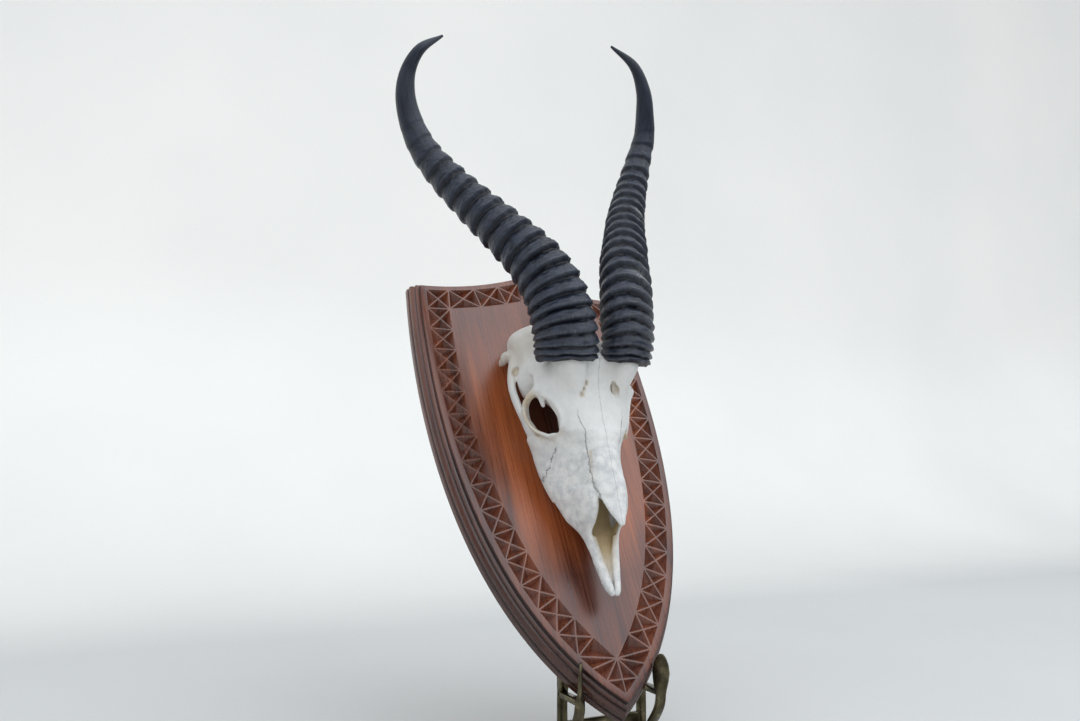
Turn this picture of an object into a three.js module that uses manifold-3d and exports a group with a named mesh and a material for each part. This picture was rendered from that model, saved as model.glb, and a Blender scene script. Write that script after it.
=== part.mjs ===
// Skull of a springbok ram with its horns, mounted on a chip-carved wooden shield
// that leans back on a brass easel. Millimetres, +Z up, the face looks along -Y.

import * as THREE from 'three';
import { mergeVertices } from 'three/addons/utils/BufferGeometryUtils.js';
import Module from 'manifold-3d';

const wasm = await Module();
wasm.setup();

// Shield. Its own frame has x across, y back from the front face and z up the face from the tip.
const SHIELD_LEAN = THREE.MathUtils.degToRad(29.5);
const SHIELD_TIP_ABOVE_FLOOR = 45;
const SHIELD_HEIGHT = 330;
const SHIELD_CORNER_HALF_WIDTH = 86;
const SHIELD_PEAK_HEIGHT = 345.5;
const SHIELD_THICKNESS = 18.8;
const SIDE_LOWER_CONTROL = [67.7, 51];
const SIDE_UPPER_CONTROL = [101, 159];
const SIDE_STEPS = 16;
const TOP_STEPS = 4;
// Edge moulding from the front face to the back: [outward, back].
const MOULDING = [[0, 0], [0.6, 2.6], [2.6, 3.4], [3, 6.2], [5.2, 8.4], [6.6, 12.4], [7.1, 18.8]];

// Chip-carved border, measured inward from the front edge.
const BAND_OUTER = 3.4;
const BAND_INNER = 21.8;
const SIDE_CELLS = 15;
const TOP_CELLS = 3;
const FAN_LENGTH = 42;
const FAN_CHIPS = 2;
const FAN_END = 18;
const RIDGE_HALF_WIDTH = 0.75;
const CHIP_DEPTH = 3.2;
const CHIP_CUT_REACH = 1.25;

// Skull. Its own frame has x across, y (depth) towards the shield and z along the face,
// from the tip of the snout to the back of the head.
const SNOUT_TIP = [0, -18.4, 62];
const SKULL_PITCH = THREE.MathUtils.degToRad(20.9);

// Half outlines [x, depth] from the ridge of the nose round to the middle of the palate,
// each after its place along the skull.
const FACE_STATIONS = [
  [65, [0, -13.2], [7.5, -11.5], [11.5, -5.8], [15, 3], [20, 15], [25, 27], [24.8, 33], [15, 31], [0, 25]],
  [78, [0, -10.4], [8, -8.5], [11.6, -3.4], [16, 6], [22.5, 19], [29, 32], [29, 38], [17, 36], [0, 29]],
  [92, [0, -7.6], [8, -6], [11.7, -1.2], [17.5, 8], [25, 21], [31.5, 35], [31.6, 42.5], [19, 41], [0, 33]],
  [103, [0, -5.4], [8, -4.2], [12.5, -0.4], [20, 9], [27, 21.5], [33, 34], [33.5, 44], [20, 44], [0, 36]],
  [110, [0, -4], [9, -3.2], [16, 0], [23, 8], [30, 20], [35.5, 33], [35.5, 45], [20, 46], [0, 38]],
];

// Roof of the skull: place along it, then the upper line of a curved plate, [x, depth].
const ROOF_STATIONS = [
  [104, [0, -5], [8, -4], [14, 1], [19, 7], [24, 14]],
  [113, [0, -3.2], [9, -2.6], [16, 0], [22, 5], [25.5, 11]],
  [121, [0, -1.8], [10, -1.2], [18, 1], [23.5, 5.2], [26.5, 10.5]],
  [132, [0, -0.8], [11, -0.2], [20, 1.6], [28, 7.2], [31.5, 13.5]],
  [142, [0, -0.6], [11, 0], [21, 1.2], [31.5, 9], [37.5, 20]],
  [151, [0, -2.4], [11, -2], [21, -0.4], [30.5, 8], [36.5, 25]],
  [160, [0, -4], [11, -3], [20, 1], [29, 13], [34.5, 34]],
  [168, [0, 6], [10, 8], [20, 15], [28, 27], [33, 42]],
];
const ROOF_THICKNESS = 6;
const ROOF_EDGE_THICKNESS = 4;
const ROOF_UNDERSIDE_WIDTH = 0.92;

// Inner wall between the eyes and the braincase behind it.
const CRANIUM_STATIONS = [
  [100, [0, 0], [8, 2], [12, 10], [13, 24], [12, 36], [0, 40]],
  [118, [0, 1], [10, 3], [14, 12], [13, 26], [12, 40], [0, 45]],
  [132, [0, 2], [12, 4], [16, 14], [15, 30], [13, 44], [0, 51]],
  [146, [0, 3], [16, 6], [27, 18], [31, 34], [29, 50], [0, 58]],
  [160, [0, 8], [18, 13], [32, 28], [37, 44], [35, 58], [0, 66]],
  [174, [0, 14], [18, 20], [31, 36], [36, 52], [32, 68], [0, 74]],
  [186, [0, 26], [17, 30], [31, 43], [37, 58], [32, 74], [0, 80]],
  [196, [0, 40], [14, 43], [25, 52], [30, 64], [26, 77], [0, 84]],
  [203, [0, 56], [8, 58], [14, 64], [16, 71], [13, 78], [0, 82]],
];

// Nasal bones run out over the nose opening to a blunt point:
// [along, half width, crown depth, edge drop].
const NASAL_STATIONS = [
  [44, 1.6, -17.4, 0.6], [50, 4.6, -16.4, 2], [58, 8, -14.6, 4],
  [66, 11, -12.8, 6], [76, 11.2, -10.8, 5.5],
];
const NASAL_THICKNESS = 2.6;
const NASAL_SHOULDER = 0.6;
const NASAL_UNDERSIDE_WIDTH = 0.9;

// Side wall of the snout, a plate that narrows to the prong of the premaxilla:
// [along, upper x, upper depth, lower x, lower depth, thickness].
const PRONG_STATIONS = [
  [0, 2.6, -1.5, 4.2, 3, 4.4], [14, 6, 2.5, 7.6, 8, 5], [31, 9, 6.5, 10.6, 13, 4.8],
  [43, 11.4, 6, 14, 18.5, 4.6], [50, 12.4, 0, 19, 24, 4.4], [60, 12.6, -4.5, 22.4, 29.5, 4],
  [72, 13, -2.5, 26.5, 33, 4],
];
const PRONG_BULGE = 1;
const PRONG_INSET = 0.6;

// Floor of the nose, a thin plate between the side walls, as half outlines.
const PALATE_STATIONS = [
  [9, [0, 4.4], [4.4, 4.4], [4.4, 6.4], [0, 6.4]],
  [31, [0, 10], [8.6, 10], [8.6, 12.6], [0, 12.6]],
  [48, [0, 17.4], [15, 19], [15, 22.4], [0, 21.4]],
  [70, [0, 18.6], [20, 22], [20, 30.4], [0, 27]],
];

// Nose opening, a channel into the face between the side walls, as half outlines.
const NOSE_STATIONS = [
  [40, [0, -12], [6, -10], [8.4, -2], [9.4, 12], [7, 18], [0, 18]],
  [66, [0, -9.8], [6.5, -8], [9, -2], [10.5, 10], [8, 18], [0, 19]],
  [92, [0, -4], [5, -3], [7, 2], [8, 12], [6, 18], [0, 18]],
];

// Orbit rim, an oval ring; the axes are half diameters of its middle line.
const ORBIT_CENTRE = [33.4, 21, 123.5];
const ORBIT_LONG_AXIS = [-3.3, -0.4, -14.9];
const ORBIT_SHORT_AXIS = [7.8, 12.5, 2.3];
const ORBIT_RIM_RADIUS = 1.7;
const ORBIT_RIM_FLARE = 1.5;
const ORBIT_RIM_SIDES = 6;
const ORBIT_STEPS = 20;

// Cheek arch and the bar behind the eye, as middle lines with [thickness, height] half sizes.
const ARCH_PATH = [
  [30, 37, 106], [34, 40, 116], [38.8, 46, 131], [41, 53, 150], [37, 58, 166], [32, 62, 178],
];
const ARCH_SIZES = [[5, 8], [3.4, 6], [2.4, 4.2], [2.4, 4.2], [3.2, 5], [4, 6]];
const EYE_BAR_PATH = [[35, 18, 142], [39, 28, 139.5], [40.5, 38, 137], [39.2, 47, 134]];
const EYE_BAR_SIZES = [[4, 4.6], [2.6, 4], [2.4, 4], [2.4, 5]];

// Ear region, base of the skull and cheek teeth.
const EAR_FLANGE_PATH = [[32, 62, 174], [35.5, 70, 177], [36.5, 79, 175]];
const EAR_FLANGE_SIZES = [[4, 6], [3, 5.5], [2, 3.5]];
const EAR_SPUR_PATH = [[22, 70, 188], [26, 79, 190], [26, 86, 188]];
const EAR_SPUR_SIZES = [[6, 6], [4, 4.6], [1.6, 2]];
const EAR_BULB = { at: [19, 75.1, 172], half: [8, 9, 11] };
const CONDYLE = { at: [10, 80, 198], half: [7, 9, 8] };
const LIMB_SIDES = 8;
const KNOB_SIDES = 10;
const KNOB_RINGS = 7;
const TOOTH_COUNT = 6;
const TOOTH_ROW_START = [16, 31, 66];
const TOOTH_ROW_END = [22, 45, 110];
const TOOTH_HEIGHT = 11;
const TOOTH_WIDTH = 9;
const TOOTH_FILL = 0.92;

// Horns: middle line in the skull frame; the lower part is shared, each hook is its own.
const HORN_STEM = [
  [23.6, 0.6, 156.5], [24.8, -3.6, 174], [27, -2, 195.6], [31, 2.9, 214], [38, 13, 234.8], [50, 28.6, 258.8],
  [65, 47.8, 286.8], [81, 63.9, 315], [94, 73.5, 340.2], [103, 74.8, 363.2], [108, 70.6, 383],
];
const RIGHT_HOOK = [[106, 63.2, 399.8], [101, 54.7, 416.9], [90, 49, 435.8], [72, 53.8, 454]];
const LEFT_HOOK = [[107, 64.4, 400.4], [101, 54.2, 412.8], [82, 53.9, 429]];
const HORN_BASE_HALF = [22.4, 17.4];
const HORN_BROAD_DIRECTION = [0.7, 0.7, 0];
// Girth along the horn: [share of its length, share of the base].
const HORN_TAPER = [
  [0, 0.98], [0.1, 1], [0.2, 0.94], [0.4, 0.77], [0.55, 0.66],
  [0.68, 0.54], [0.83, 0.36], [0.93, 0.2], [1, 0.05],
];
const HORN_ROUNDING = 0.55;
const HORN_SIDES = 12;
const HOOK_STEPS = 9;
const RING_COUNT = 19;
const RING_FIRST_PITCH = 4.5;
const RING_PITCH_GROWTH = 0.98;
const RING_LAST_PITCH = 15;
const RING_HEIGHT = 1.5;
const RING_START = 1.7;
const PEDICLE_PATH = [[16, 14, 134], [18.5, 6, 147], [21, 0.6, 158]];
const PEDICLE_SIZES = [[8, 10], [9.5, 12.5], [11, 15]];

// Easel of brass bar. Its side plane has y back from the shield's front tip and z up from the floor.
const STRIP_WIDTH = 6.5;
const STRIP_THICKNESS = 3.6;
const UPRIGHT_X = 30;
// The upright lies on the shield's back between these heights up the face, then drops to the foot.
const UPRIGHT_TOP = 176;
const UPRIGHT_BEND = 24;
const LEG_PATH = [[33, 44], [33, 6], [29, 1.8], [25, 1.8], [-2, 1.8]];
const REST_PATH = [[33, 45.7], [9.4, 45.7]];
const TONGUE_PATH = [[33, 12], [27, 17], [20, 24], [10, 38], [8.5, 54], [7.5, 70]];
const TONGUE_BENDS = 14;
// Half width of the tongue by its height above the floor.
const TONGUE_WIDTHS = [[44, 3.25], [53, 5.2], [58.5, 6], [65, 4.4], [70, 1.4]];
const TONGUE_TWIST = THREE.MathUtils.degToRad(58);
const TONGUE_TWIST_HEIGHTS = [40, 53];
const TONGUE_THICKNESS = 2.6;
const BAR_UP_SHIELD = 158;
const BAR_HEIGHT = 9;
const LOW_BAR_PLACE = [33, 24];
const REAR_LEG_WIDTH = 7;
const REAR_LEG_BACK = 90;
const REAR_FOOT_LENGTH = 14;
const REAR_FOOT_BEND = 4;

// Clearance between pieces that touch.
const GAP = 0.3;

const WOOD = new THREE.MeshStandardMaterial({ color: 0x6b3a28, roughness: 0.42, metalness: 0 });
const BONE = new THREE.MeshStandardMaterial({ color: 0xdcd6c8, roughness: 0.7, metalness: 0 });
const HORN = new THREE.MeshStandardMaterial({ color: 0x23262d, roughness: 0.45, metalness: 0 });
const BRASS = new THREE.MeshStandardMaterial({ color: 0x8a7440, roughness: 0.35, metalness: 1 });

const vector = (values) => new THREE.Vector3(...values);
const flatPoint = (values) => new THREE.Vector2(...values);
const mirrored = ([x, y, z]) => [-x, y, z];

// Solid body from a closed geometry.
function solid(geometry) {
  const bare = geometry.clone();
  bare.deleteAttribute('normal');
  bare.deleteAttribute('uv');
  const welded = mergeVertices(bare, 1e-4);
  const vertProperties = new Float32Array(welded.attributes.position.array);
  const triVerts = new Uint32Array(welded.index.array);
  return new wasm.Manifold(new wasm.Mesh({ numProp: 3, vertProperties, triVerts }));
}

function geometryOf(body) {
  const mesh = body.getMesh();
  const geometry = new THREE.BufferGeometry();
  geometry.setAttribute('position', new THREE.BufferAttribute(new Float32Array(mesh.vertProperties), 3));
  geometry.setIndex(new THREE.BufferAttribute(new Uint32Array(mesh.triVerts), 1));
  geometry.computeVertexNormals();
  return geometry;
}

function joined(bodies) {
  return bodies.reduce((whole, body) => whole.add(body));
}

function indexed(points, triangles) {
  const geometry = new THREE.BufferGeometry().setFromPoints(points);
  geometry.setIndex(triangles);
  return geometry;
}

// Triangles that close a ring of points, wound to face along its right-hand normal.
function ringCap(ring) {
  const normal = new THREE.Vector3();
  ring.forEach((point, index) => {
    normal.add(point.clone().cross(ring[(index + 1) % ring.length]));
  });
  normal.normalize();
  const across = ring[0].clone().sub(ring[Math.floor(ring.length / 2)]).projectOnPlane(normal).normalize();
  const up = normal.clone().cross(across);
  const flat = ring.map((point) => new THREE.Vector2(point.dot(across), point.dot(up)));
  return THREE.ShapeUtils.triangulateShape(flat, []).map(([a, b, c]) => {
    const turn = flat[b].clone().sub(flat[a]).cross(flat[c].clone().sub(flat[a]));
    return turn > 0 ? [a, b, c] : [a, c, b];
  });
}

// Closed body through a row of rings with equal point counts, flat at both ends.
function loft(rings) {
  const sides = rings[0].length;
  const last = (rings.length - 1) * sides;
  const triangles = [];
  for (let start = 0; start < last; start += sides) {
    for (let side = 0; side < sides; side += 1) {
      const here = start + side;
      const next = start + ((side + 1) % sides);
      triangles.push(here, next, next + sides, here, next + sides, here + sides);
    }
  }
  ringCap(rings[0]).forEach(([a, b, c]) => triangles.push(a, c, b));
  ringCap(rings.at(-1)).forEach(([a, b, c]) => triangles.push(last + a, last + b, last + c));
  return indexed(rings.flat(), triangles);
}

// Closed ring at one station of the skull from a half outline that starts and ends on the middle.
function wholeRing([along, ...half]) {
  const right = half.map(([x, depth]) => new THREE.Vector3(x, depth, along));
  const left = half.slice(1, -1).reverse().map(([x, depth]) => new THREE.Vector3(-x, depth, along));
  return [...right, ...left];
}

// Tapered limb along a smooth path, with an oval section; 'height' lies nearest the given direction.
function limb(path, sizes, steps, sides, direction) {
  const curve = new THREE.CatmullRomCurve3(path.map(vector));
  const rings = [];
  for (let step = 0; step <= steps; step += 1) {
    const share = step / steps;
    const place = share * (sizes.length - 1);
    const lower = Math.min(Math.floor(place), sizes.length - 2);
    const [thickness, height] = sizes[lower].map((size, axis) =>
      THREE.MathUtils.lerp(size, sizes[lower + 1][axis], place - lower));
    rings.push(ovalRing(curve.getPoint(share), curve.getTangent(share), direction, height, thickness, sides));
  }
  return loft(rings);
}

// Oval ring round a path; its first half axis lies along the given direction, square to the path.
function ovalRing(centre, tangent, direction, first, second, sides) {
  const broad = vector(direction).projectOnPlane(tangent).normalize();
  const narrow = tangent.clone().cross(broad);
  return Array.from({ length: sides }, (_, side) => {
    const angle = (2 * Math.PI * side) / sides;
    return centre.clone()
      .addScaledVector(broad, first * Math.cos(angle))
      .addScaledVector(narrow, second * Math.sin(angle));
  });
}

function ellipsoid({ at, half }) {
  return new THREE.SphereGeometry(1, KNOB_SIDES, KNOB_RINGS).scale(...half).translate(...at);
}

// The same body on both sides of the middle plane.
function bothSides(make) {
  return [make((point) => point), make(mirrored)];
}

// Shield outline as curves over the right half: the side from the tip, then the top to the peak.
const tip = new THREE.Vector2(0, 0);
const corner = new THREE.Vector2(SHIELD_CORNER_HALF_WIDTH, SHIELD_HEIGHT);
const peak = new THREE.Vector2(0, SHIELD_PEAK_HEIGHT);
const sideCurve = new THREE.CubicBezierCurve(
  tip, new THREE.Vector2(...SIDE_LOWER_CONTROL), new THREE.Vector2(...SIDE_UPPER_CONTROL), corner);
const topCurve = new THREE.QuadraticBezierCurve(
  corner, new THREE.Vector2(SHIELD_CORNER_HALF_WIDTH / 2, SHIELD_HEIGHT), peak);

// Front outline moved outward, mitred where it turns.
function shieldOutline(outward) {
  const side = sideCurve.getSpacedPoints(SIDE_STEPS).slice(0, -1);
  const right = [...side, ...topCurve.getSpacedPoints(TOP_STEPS)];
  const left = right.slice(1, -1).reverse().map(({ x, y }) => new THREE.Vector2(-x, y));
  const loop = [...right, ...left];
  return loop.map((point, index) => {
    const before = loop.at(index - 1);
    const after = loop[(index + 1) % loop.length];
    const normals = [[before, point], [point, after]].map(([from, to]) =>
      new THREE.Vector2(to.y - from.y, from.x - to.x).normalize());
    const mitre = outward / (1 + normals[0].dot(normals[1]));
    return point.clone().addScaledVector(normals[0], mitre).addScaledVector(normals[1], mitre);
  });
}

// Point of the border, at a length along a half-outline curve and a distance inward from it.
function borderPoint(curve, length, inward) {
  const share = length / curve.getLength();
  const heading = curve.getTangentAt(share);
  return curve.getPointAt(share).add(new THREE.Vector2(-heading.y, heading.x).multiplyScalar(inward));
}

// Three-sided pit whose rim is the given triangle, drawn in to leave half a ridge on each side.
function chip(corners) {
  const middle = corners.reduce((sum, point) => sum.clone().add(point)).divideScalar(3);
  const lengths = corners.map((point, index) => point.distanceTo(corners[(index + 1) % 3]));
  const [a, b, c] = corners;
  const area = Math.abs(b.clone().sub(a).cross(c.clone().sub(a))) / 2;
  const inRadius = (2 * area) / (lengths[0] + lengths[1] + lengths[2]);
  const incentre = a.clone().multiplyScalar(lengths[1])
    .addScaledVector(b, lengths[2]).addScaledVector(c, lengths[0])
    .divideScalar(lengths[0] + lengths[1] + lengths[2]);
  const shrink = 1 - RIDGE_HALF_WIDTH / inRadius;
  const bottom = new THREE.Vector3(middle.x, Math.min(CHIP_DEPTH, inRadius), middle.y);
  const rim = corners.map((point) => {
    const drawn = incentre.clone().lerp(point, shrink);
    return bottom.clone().lerp(new THREE.Vector3(drawn.x, 0, drawn.y), CHIP_CUT_REACH);
  });
  const outward = b.clone().sub(a).cross(c.clone().sub(a)) > 0;
  const triangles = outward ? [0, 1, 2, 1, 0, 3, 2, 1, 3, 0, 2, 3] : [0, 2, 1, 0, 1, 3, 1, 2, 3, 2, 0, 3];
  return solid(indexed([...rim, bottom], triangles));
}

// Rims of a square cell's four pits, round a raised cross.
function cell([a, b, c, d]) {
  const middle = a.clone().add(b).add(c).add(d).multiplyScalar(0.25);
  return [[a, b], [b, c], [c, d], [d, a]].map(([from, to]) => [from, to, middle]);
}

// Rims of all pits of the right half: cells up the side, the corner, along the top, the fan at the tip.
function halfBorder() {
  const chips = [];
  const sideLength = sideCurve.getLength();
  const topLength = topCurve.getLength();
  const innerCorner = cornerPoint(BAND_INNER);
  const sideEnd = sideLength - BAND_INNER;
  const pitch = (sideEnd - FAN_LENGTH) / SIDE_CELLS;
  const bandPair = (curve, length) =>
    [BAND_OUTER, BAND_INNER].map((inward) => borderPoint(curve, length, inward));
  const sidePair = (length) => bandPair(sideCurve, length);
  for (let index = 0; index < SIDE_CELLS; index += 1) {
    const [outerLow, innerLow] = sidePair(FAN_LENGTH + index * pitch);
    const [outerHigh, innerHigh] = sidePair(FAN_LENGTH + (index + 1) * pitch);
    const top = index === SIDE_CELLS - 1 ? innerCorner : innerHigh;
    chips.push(...cell([outerLow, outerHigh, top, innerLow]));
  }
  const topStart = BAND_INNER;
  const topPitch = (topLength - topStart) / TOP_CELLS;
  const topPair = (length) => bandPair(topCurve, length);
  const cornerSide = sidePair(sideEnd)[0];
  chips.push(...cell([cornerSide, cornerPoint(BAND_OUTER), topPair(topStart)[0], innerCorner]));
  for (let index = 0; index < TOP_CELLS; index += 1) {
    const [outerRight, innerRight] = topPair(topStart + index * topPitch);
    const [outerLeft, innerLeft] = topPair(topStart + (index + 1) * topPitch);
    const lastCell = index === TOP_CELLS - 1;
    const left = lastCell ? [peakPoint(BAND_OUTER), peakPoint(BAND_INNER)] : [outerLeft, innerLeft];
    chips.push(...cell([outerRight, left[0], left[1], index === 0 ? innerCorner : innerRight]));
  }
  const hub = tipPoint(BAND_INNER);
  const fanStep = (FAN_LENGTH - FAN_END) / FAN_CHIPS;
  for (let index = 0; index < FAN_CHIPS; index += 1) {
    const [near, far] = [FAN_END + index * fanStep, FAN_END + (index + 1) * fanStep]
      .map((length) => borderPoint(sideCurve, length, BAND_OUTER));
    chips.push([near, far, hub]);
  }
  chips.push([hub, borderPoint(sideCurve, FAN_LENGTH, BAND_OUTER), sidePair(FAN_LENGTH)[1]]);
  const lowest = tipPoint(BAND_OUTER);
  const fanFoot = borderPoint(sideCurve, FAN_END, BAND_OUTER);
  chips.push([new THREE.Vector2(0, fanFoot.y), fanFoot, hub]);
  chips.push([lowest, fanFoot, new THREE.Vector2(0, fanFoot.y)]);
  return chips;
}

// Corners of the border, taken from the mitred outline.
function cornerPoint(inward) {
  return shieldOutline(-inward)[SIDE_STEPS];
}
function peakPoint(inward) {
  return shieldOutline(-inward)[SIDE_STEPS + TOP_STEPS];
}
function tipPoint(inward) {
  return shieldOutline(-inward)[0];
}

function makeShield() {
  const rings = MOULDING.map(([outward, back]) =>
    shieldOutline(outward).map(({ x, y }) => new THREE.Vector3(x, back, y)));
  const blank = solid(loft(rings.map((ring) => ring.reverse())));
  const right = halfBorder();
  const left = right.map((rim) => rim.map(({ x, y }) => new THREE.Vector2(-x, y)));
  return blank.subtract(joined([...right, ...left].map(chip)));
}

// Roof plate: the upper line of each station, then the same line lower down.
function makeRoof() {
  const rings = ROOF_STATIONS.map(([along, ...upper]) => {
    const [edgeX, edgeDepth] = upper.at(-1);
    const lower = upper.slice(0, -1).reverse()
      .map(([x, depth]) => [x * ROOF_UNDERSIDE_WIDTH, depth + ROOF_THICKNESS]);
    return wholeRing([along, ...upper, [edgeX, edgeDepth + ROOF_EDGE_THICKNESS], ...lower]);
  });
  return loft(rings);
}

function makeNasals() {
  const rings = NASAL_STATIONS.map(([along, halfWidth, crown, drop]) => {
    const shoulder = [halfWidth * NASAL_SHOULDER, crown + drop * (1 - NASAL_SHOULDER)];
    const upper = [[0, crown], shoulder, [halfWidth, crown + drop]];
    const lower = upper.map(([x, depth]) => [x * NASAL_UNDERSIDE_WIDTH, depth + NASAL_THICKNESS]).reverse();
    return wholeRing([along, ...upper, ...lower]);
  });
  return loft(rings);
}

function makeProng(place) {
  const rings = PRONG_STATIONS.map(([along, upperX, upperDepth, lowerX, lowerDepth, thickness]) => {
    const bulge = [(upperX + lowerX) / 2 + PRONG_BULGE, (upperDepth + lowerDepth) / 2];
    const outer = [[upperX, upperDepth], bulge, [lowerX, lowerDepth]];
    const inner = outer.map(([x, depth]) => [Math.max(x - thickness, PRONG_INSET), depth + PRONG_INSET]);
    inner.reverse();
    return [...outer, ...inner].map(([x, depth]) => vector(place([x, depth, along])));
  });
  return loft(place([1, 0, 0])[0] > 0 ? rings : rings.map((ring) => ring.reverse()));
}

function makeOrbitRim(place) {
  const long = vector(place(ORBIT_LONG_AXIS));
  const short = vector(place(ORBIT_SHORT_AXIS));
  const axis = long.clone().cross(short).normalize();
  const middle = (long.length() + short.length()) / 2;
  const basis = new THREE.Matrix4().makeBasis(
    long.divideScalar(middle), short.divideScalar(middle), axis.multiplyScalar(ORBIT_RIM_FLARE));
  return new THREE.TorusGeometry(middle, ORBIT_RIM_RADIUS, ORBIT_RIM_SIDES, ORBIT_STEPS)
    .applyMatrix4(basis)
    .translate(...place(ORBIT_CENTRE));
}

function makeTeeth(place) {
  const start = vector(TOOTH_ROW_START);
  const end = vector(TOOTH_ROW_END);
  const length = end.z - start.z;
  return Array.from({ length: TOOTH_COUNT }, (_, index) => {
    const middle = start.clone().lerp(end, (index + 0.5) / TOOTH_COUNT);
    const size = [TOOTH_WIDTH, TOOTH_HEIGHT * 2, (length / TOOTH_COUNT) * TOOTH_FILL];
    return new THREE.BoxGeometry(...size).translate(...place(middle.toArray()));
  });
}

// Value at a place in a list of [place, value], straight between them.
function between(list, place) {
  const upper = Math.max(list.findIndex(([at]) => at >= place), 1);
  const [toPlace, toValue] = list.at(upper);
  const [fromPlace, fromValue] = list.at(upper - 1);
  return THREE.MathUtils.mapLinear(place, fromPlace, toPlace, fromValue, toValue);
}

// Length of each ring's crest from the base: crowded at the base, then evenly spaced.
function ringAt(index) {
  let length = RING_START;
  for (let ring = 0; ring < index; ring += 1) {
    length += Math.min(RING_FIRST_PITCH + RING_PITCH_GROWTH * ring, RING_LAST_PITCH);
  }
  return length;
}

// Horn, ringed to about two thirds of its length and smooth in the hook; 'swell' widens it all round.
function makeHorn(hook, place, swell = 0) {
  const curve = new THREE.CatmullRomCurve3([...HORN_STEM, ...hook].map((point) => vector(place(point))));
  const length = curve.getLength();
  const stops = [{ at: -swell, rise: 0 }];
  for (let index = 0; index < RING_COUNT; index += 1) {
    stops.push({ at: ringAt(index), rise: RING_HEIGHT });
    stops.push({ at: (ringAt(index) + ringAt(index + 1)) / 2, rise: 0 });
  }
  const smoothStart = stops.at(-1).at;
  for (let step = 1; step <= HOOK_STEPS; step += 1) {
    stops.push({ at: THREE.MathUtils.lerp(smoothStart, length, step / HOOK_STEPS), rise: 0 });
  }
  const rings = stops.map(({ at, rise }) => {
    const share = THREE.MathUtils.clamp(at / length, 0, 1);
    const girth = between(HORN_TAPER, share);
    const round = (HORN_BASE_HALF[0] + HORN_BASE_HALF[1]) / 2;
    const [broad, narrow] = HORN_BASE_HALF.map((half) =>
      girth * THREE.MathUtils.lerp(half, round, Math.min(share / HORN_ROUNDING, 1)) + rise * girth + swell);
    const tangent = curve.getTangentAt(share);
    const centre = curve.getPointAt(share).addScaledVector(tangent, Math.min(at, 0));
    return ovalRing(centre, tangent, place(HORN_BROAD_DIRECTION), broad, narrow, HORN_SIDES);
  });
  return loft(rings);
}

function makeSkull() {
  const body = [
    solid(loft(FACE_STATIONS.map(wholeRing))),
    solid(loft(CRANIUM_STATIONS.map(wholeRing))),
    solid(makeRoof()),
    solid(makeNasals()),
    solid(loft(PALATE_STATIONS.map(wholeRing))),
  ];
  const limbs = [
    [ARCH_PATH, ARCH_SIZES, 10], [EYE_BAR_PATH, EYE_BAR_SIZES, 5], [EAR_FLANGE_PATH, EAR_FLANGE_SIZES, 4],
    [EAR_SPUR_PATH, EAR_SPUR_SIZES, 4], [PEDICLE_PATH, PEDICLE_SIZES, 4],
  ];
  const paired = bothSides((place) => [
    ...limbs.map(([path, sizes, steps]) => limb(path.map(place), sizes, steps, LIMB_SIDES, [0, 1, 0])),
    makeProng(place), makeOrbitRim(place), ...makeTeeth(place),
    ellipsoid({ at: place(EAR_BULB.at), half: EAR_BULB.half }),
    ellipsoid({ at: place(CONDYLE.at), half: CONDYLE.half }),
  ]).flat();
  return joined([...body, ...paired.map(solid)]).subtract(solid(loft(NOSE_STATIONS.map(wholeRing))));
}

// Flat strip along a path in the side plane, centred on x; 'shape' gives its half width, half
// thickness and twist at each point of the path.
function strip(path, x, shape) {
  const rings = path.map((point, index) => {
    const before = path[Math.max(index - 1, 0)];
    const after = path[Math.min(index + 1, path.length - 1)];
    const heading = after.clone().sub(before).normalize();
    const { halfWidth, halfThickness, twist } = shape(point);
    const across = new THREE.Vector3(1, 0, 0);
    const side = new THREE.Vector3(0, -heading.y, heading.x);
    const wide = across.clone().multiplyScalar(Math.cos(twist)).addScaledVector(side, Math.sin(twist));
    const thin = side.clone().multiplyScalar(Math.cos(twist)).addScaledVector(across, -Math.sin(twist));
    return [[1, 1], [1, -1], [-1, -1], [-1, 1]].map(([u, v]) => new THREE.Vector3(x, point.x, point.y)
      .addScaledVector(wide, u * halfWidth)
      .addScaledVector(thin, v * halfThickness));
  });
  return loft(rings);
}

// Plain strip of one width.
function plainStrip(path, x, width) {
  return strip(path, x, () => ({ halfWidth: width / 2, halfThickness: STRIP_THICKNESS / 2, twist: 0 }));
}

// Place on the floor-standing side plane of a point given in the shield frame.
function leaned([y, z]) {
  const cos = Math.cos(SHIELD_LEAN);
  const sin = Math.sin(SHIELD_LEAN);
  return new THREE.Vector2(y * cos + z * sin, SHIELD_TIP_ABOVE_FLOOR + z * cos - y * sin);
}

const uprightBack = SHIELD_THICKNESS + GAP + STRIP_THICKNESS / 2;
const footLevel = STRIP_THICKNESS / 2;

// Upright behind the shield with its foot, the rest under the shield's edge, and the twisted
// leaf-shaped tongue that stands in front of that edge.
function makeUpright(x) {
  const back = [UPRIGHT_TOP, UPRIGHT_BEND].map((height) => leaned([uprightBack, height]));
  const leg = plainStrip([...back, ...LEG_PATH.map(flatPoint)], x, STRIP_WIDTH);
  const rest = plainStrip(REST_PATH.map(flatPoint), x, STRIP_WIDTH);
  const [twistFrom, twistTo] = TONGUE_TWIST_HEIGHTS;
  const curve = new THREE.SplineCurve(TONGUE_PATH.map(flatPoint));
  const tongue = strip(curve.getSpacedPoints(TONGUE_BENDS), x, ({ y }) => {
    const leaf = THREE.MathUtils.smoothstep(y, twistFrom, twistTo);
    return {
      halfWidth: y < twistFrom ? STRIP_WIDTH / 2 : between(TONGUE_WIDTHS, y),
      halfThickness: THREE.MathUtils.lerp(STRIP_THICKNESS, TONGUE_THICKNESS, leaf) / 2,
      twist: Math.sign(x) * TONGUE_TWIST * leaf,
    };
  });
  return joined([leg, rest, tongue].map(solid));
}

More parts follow.
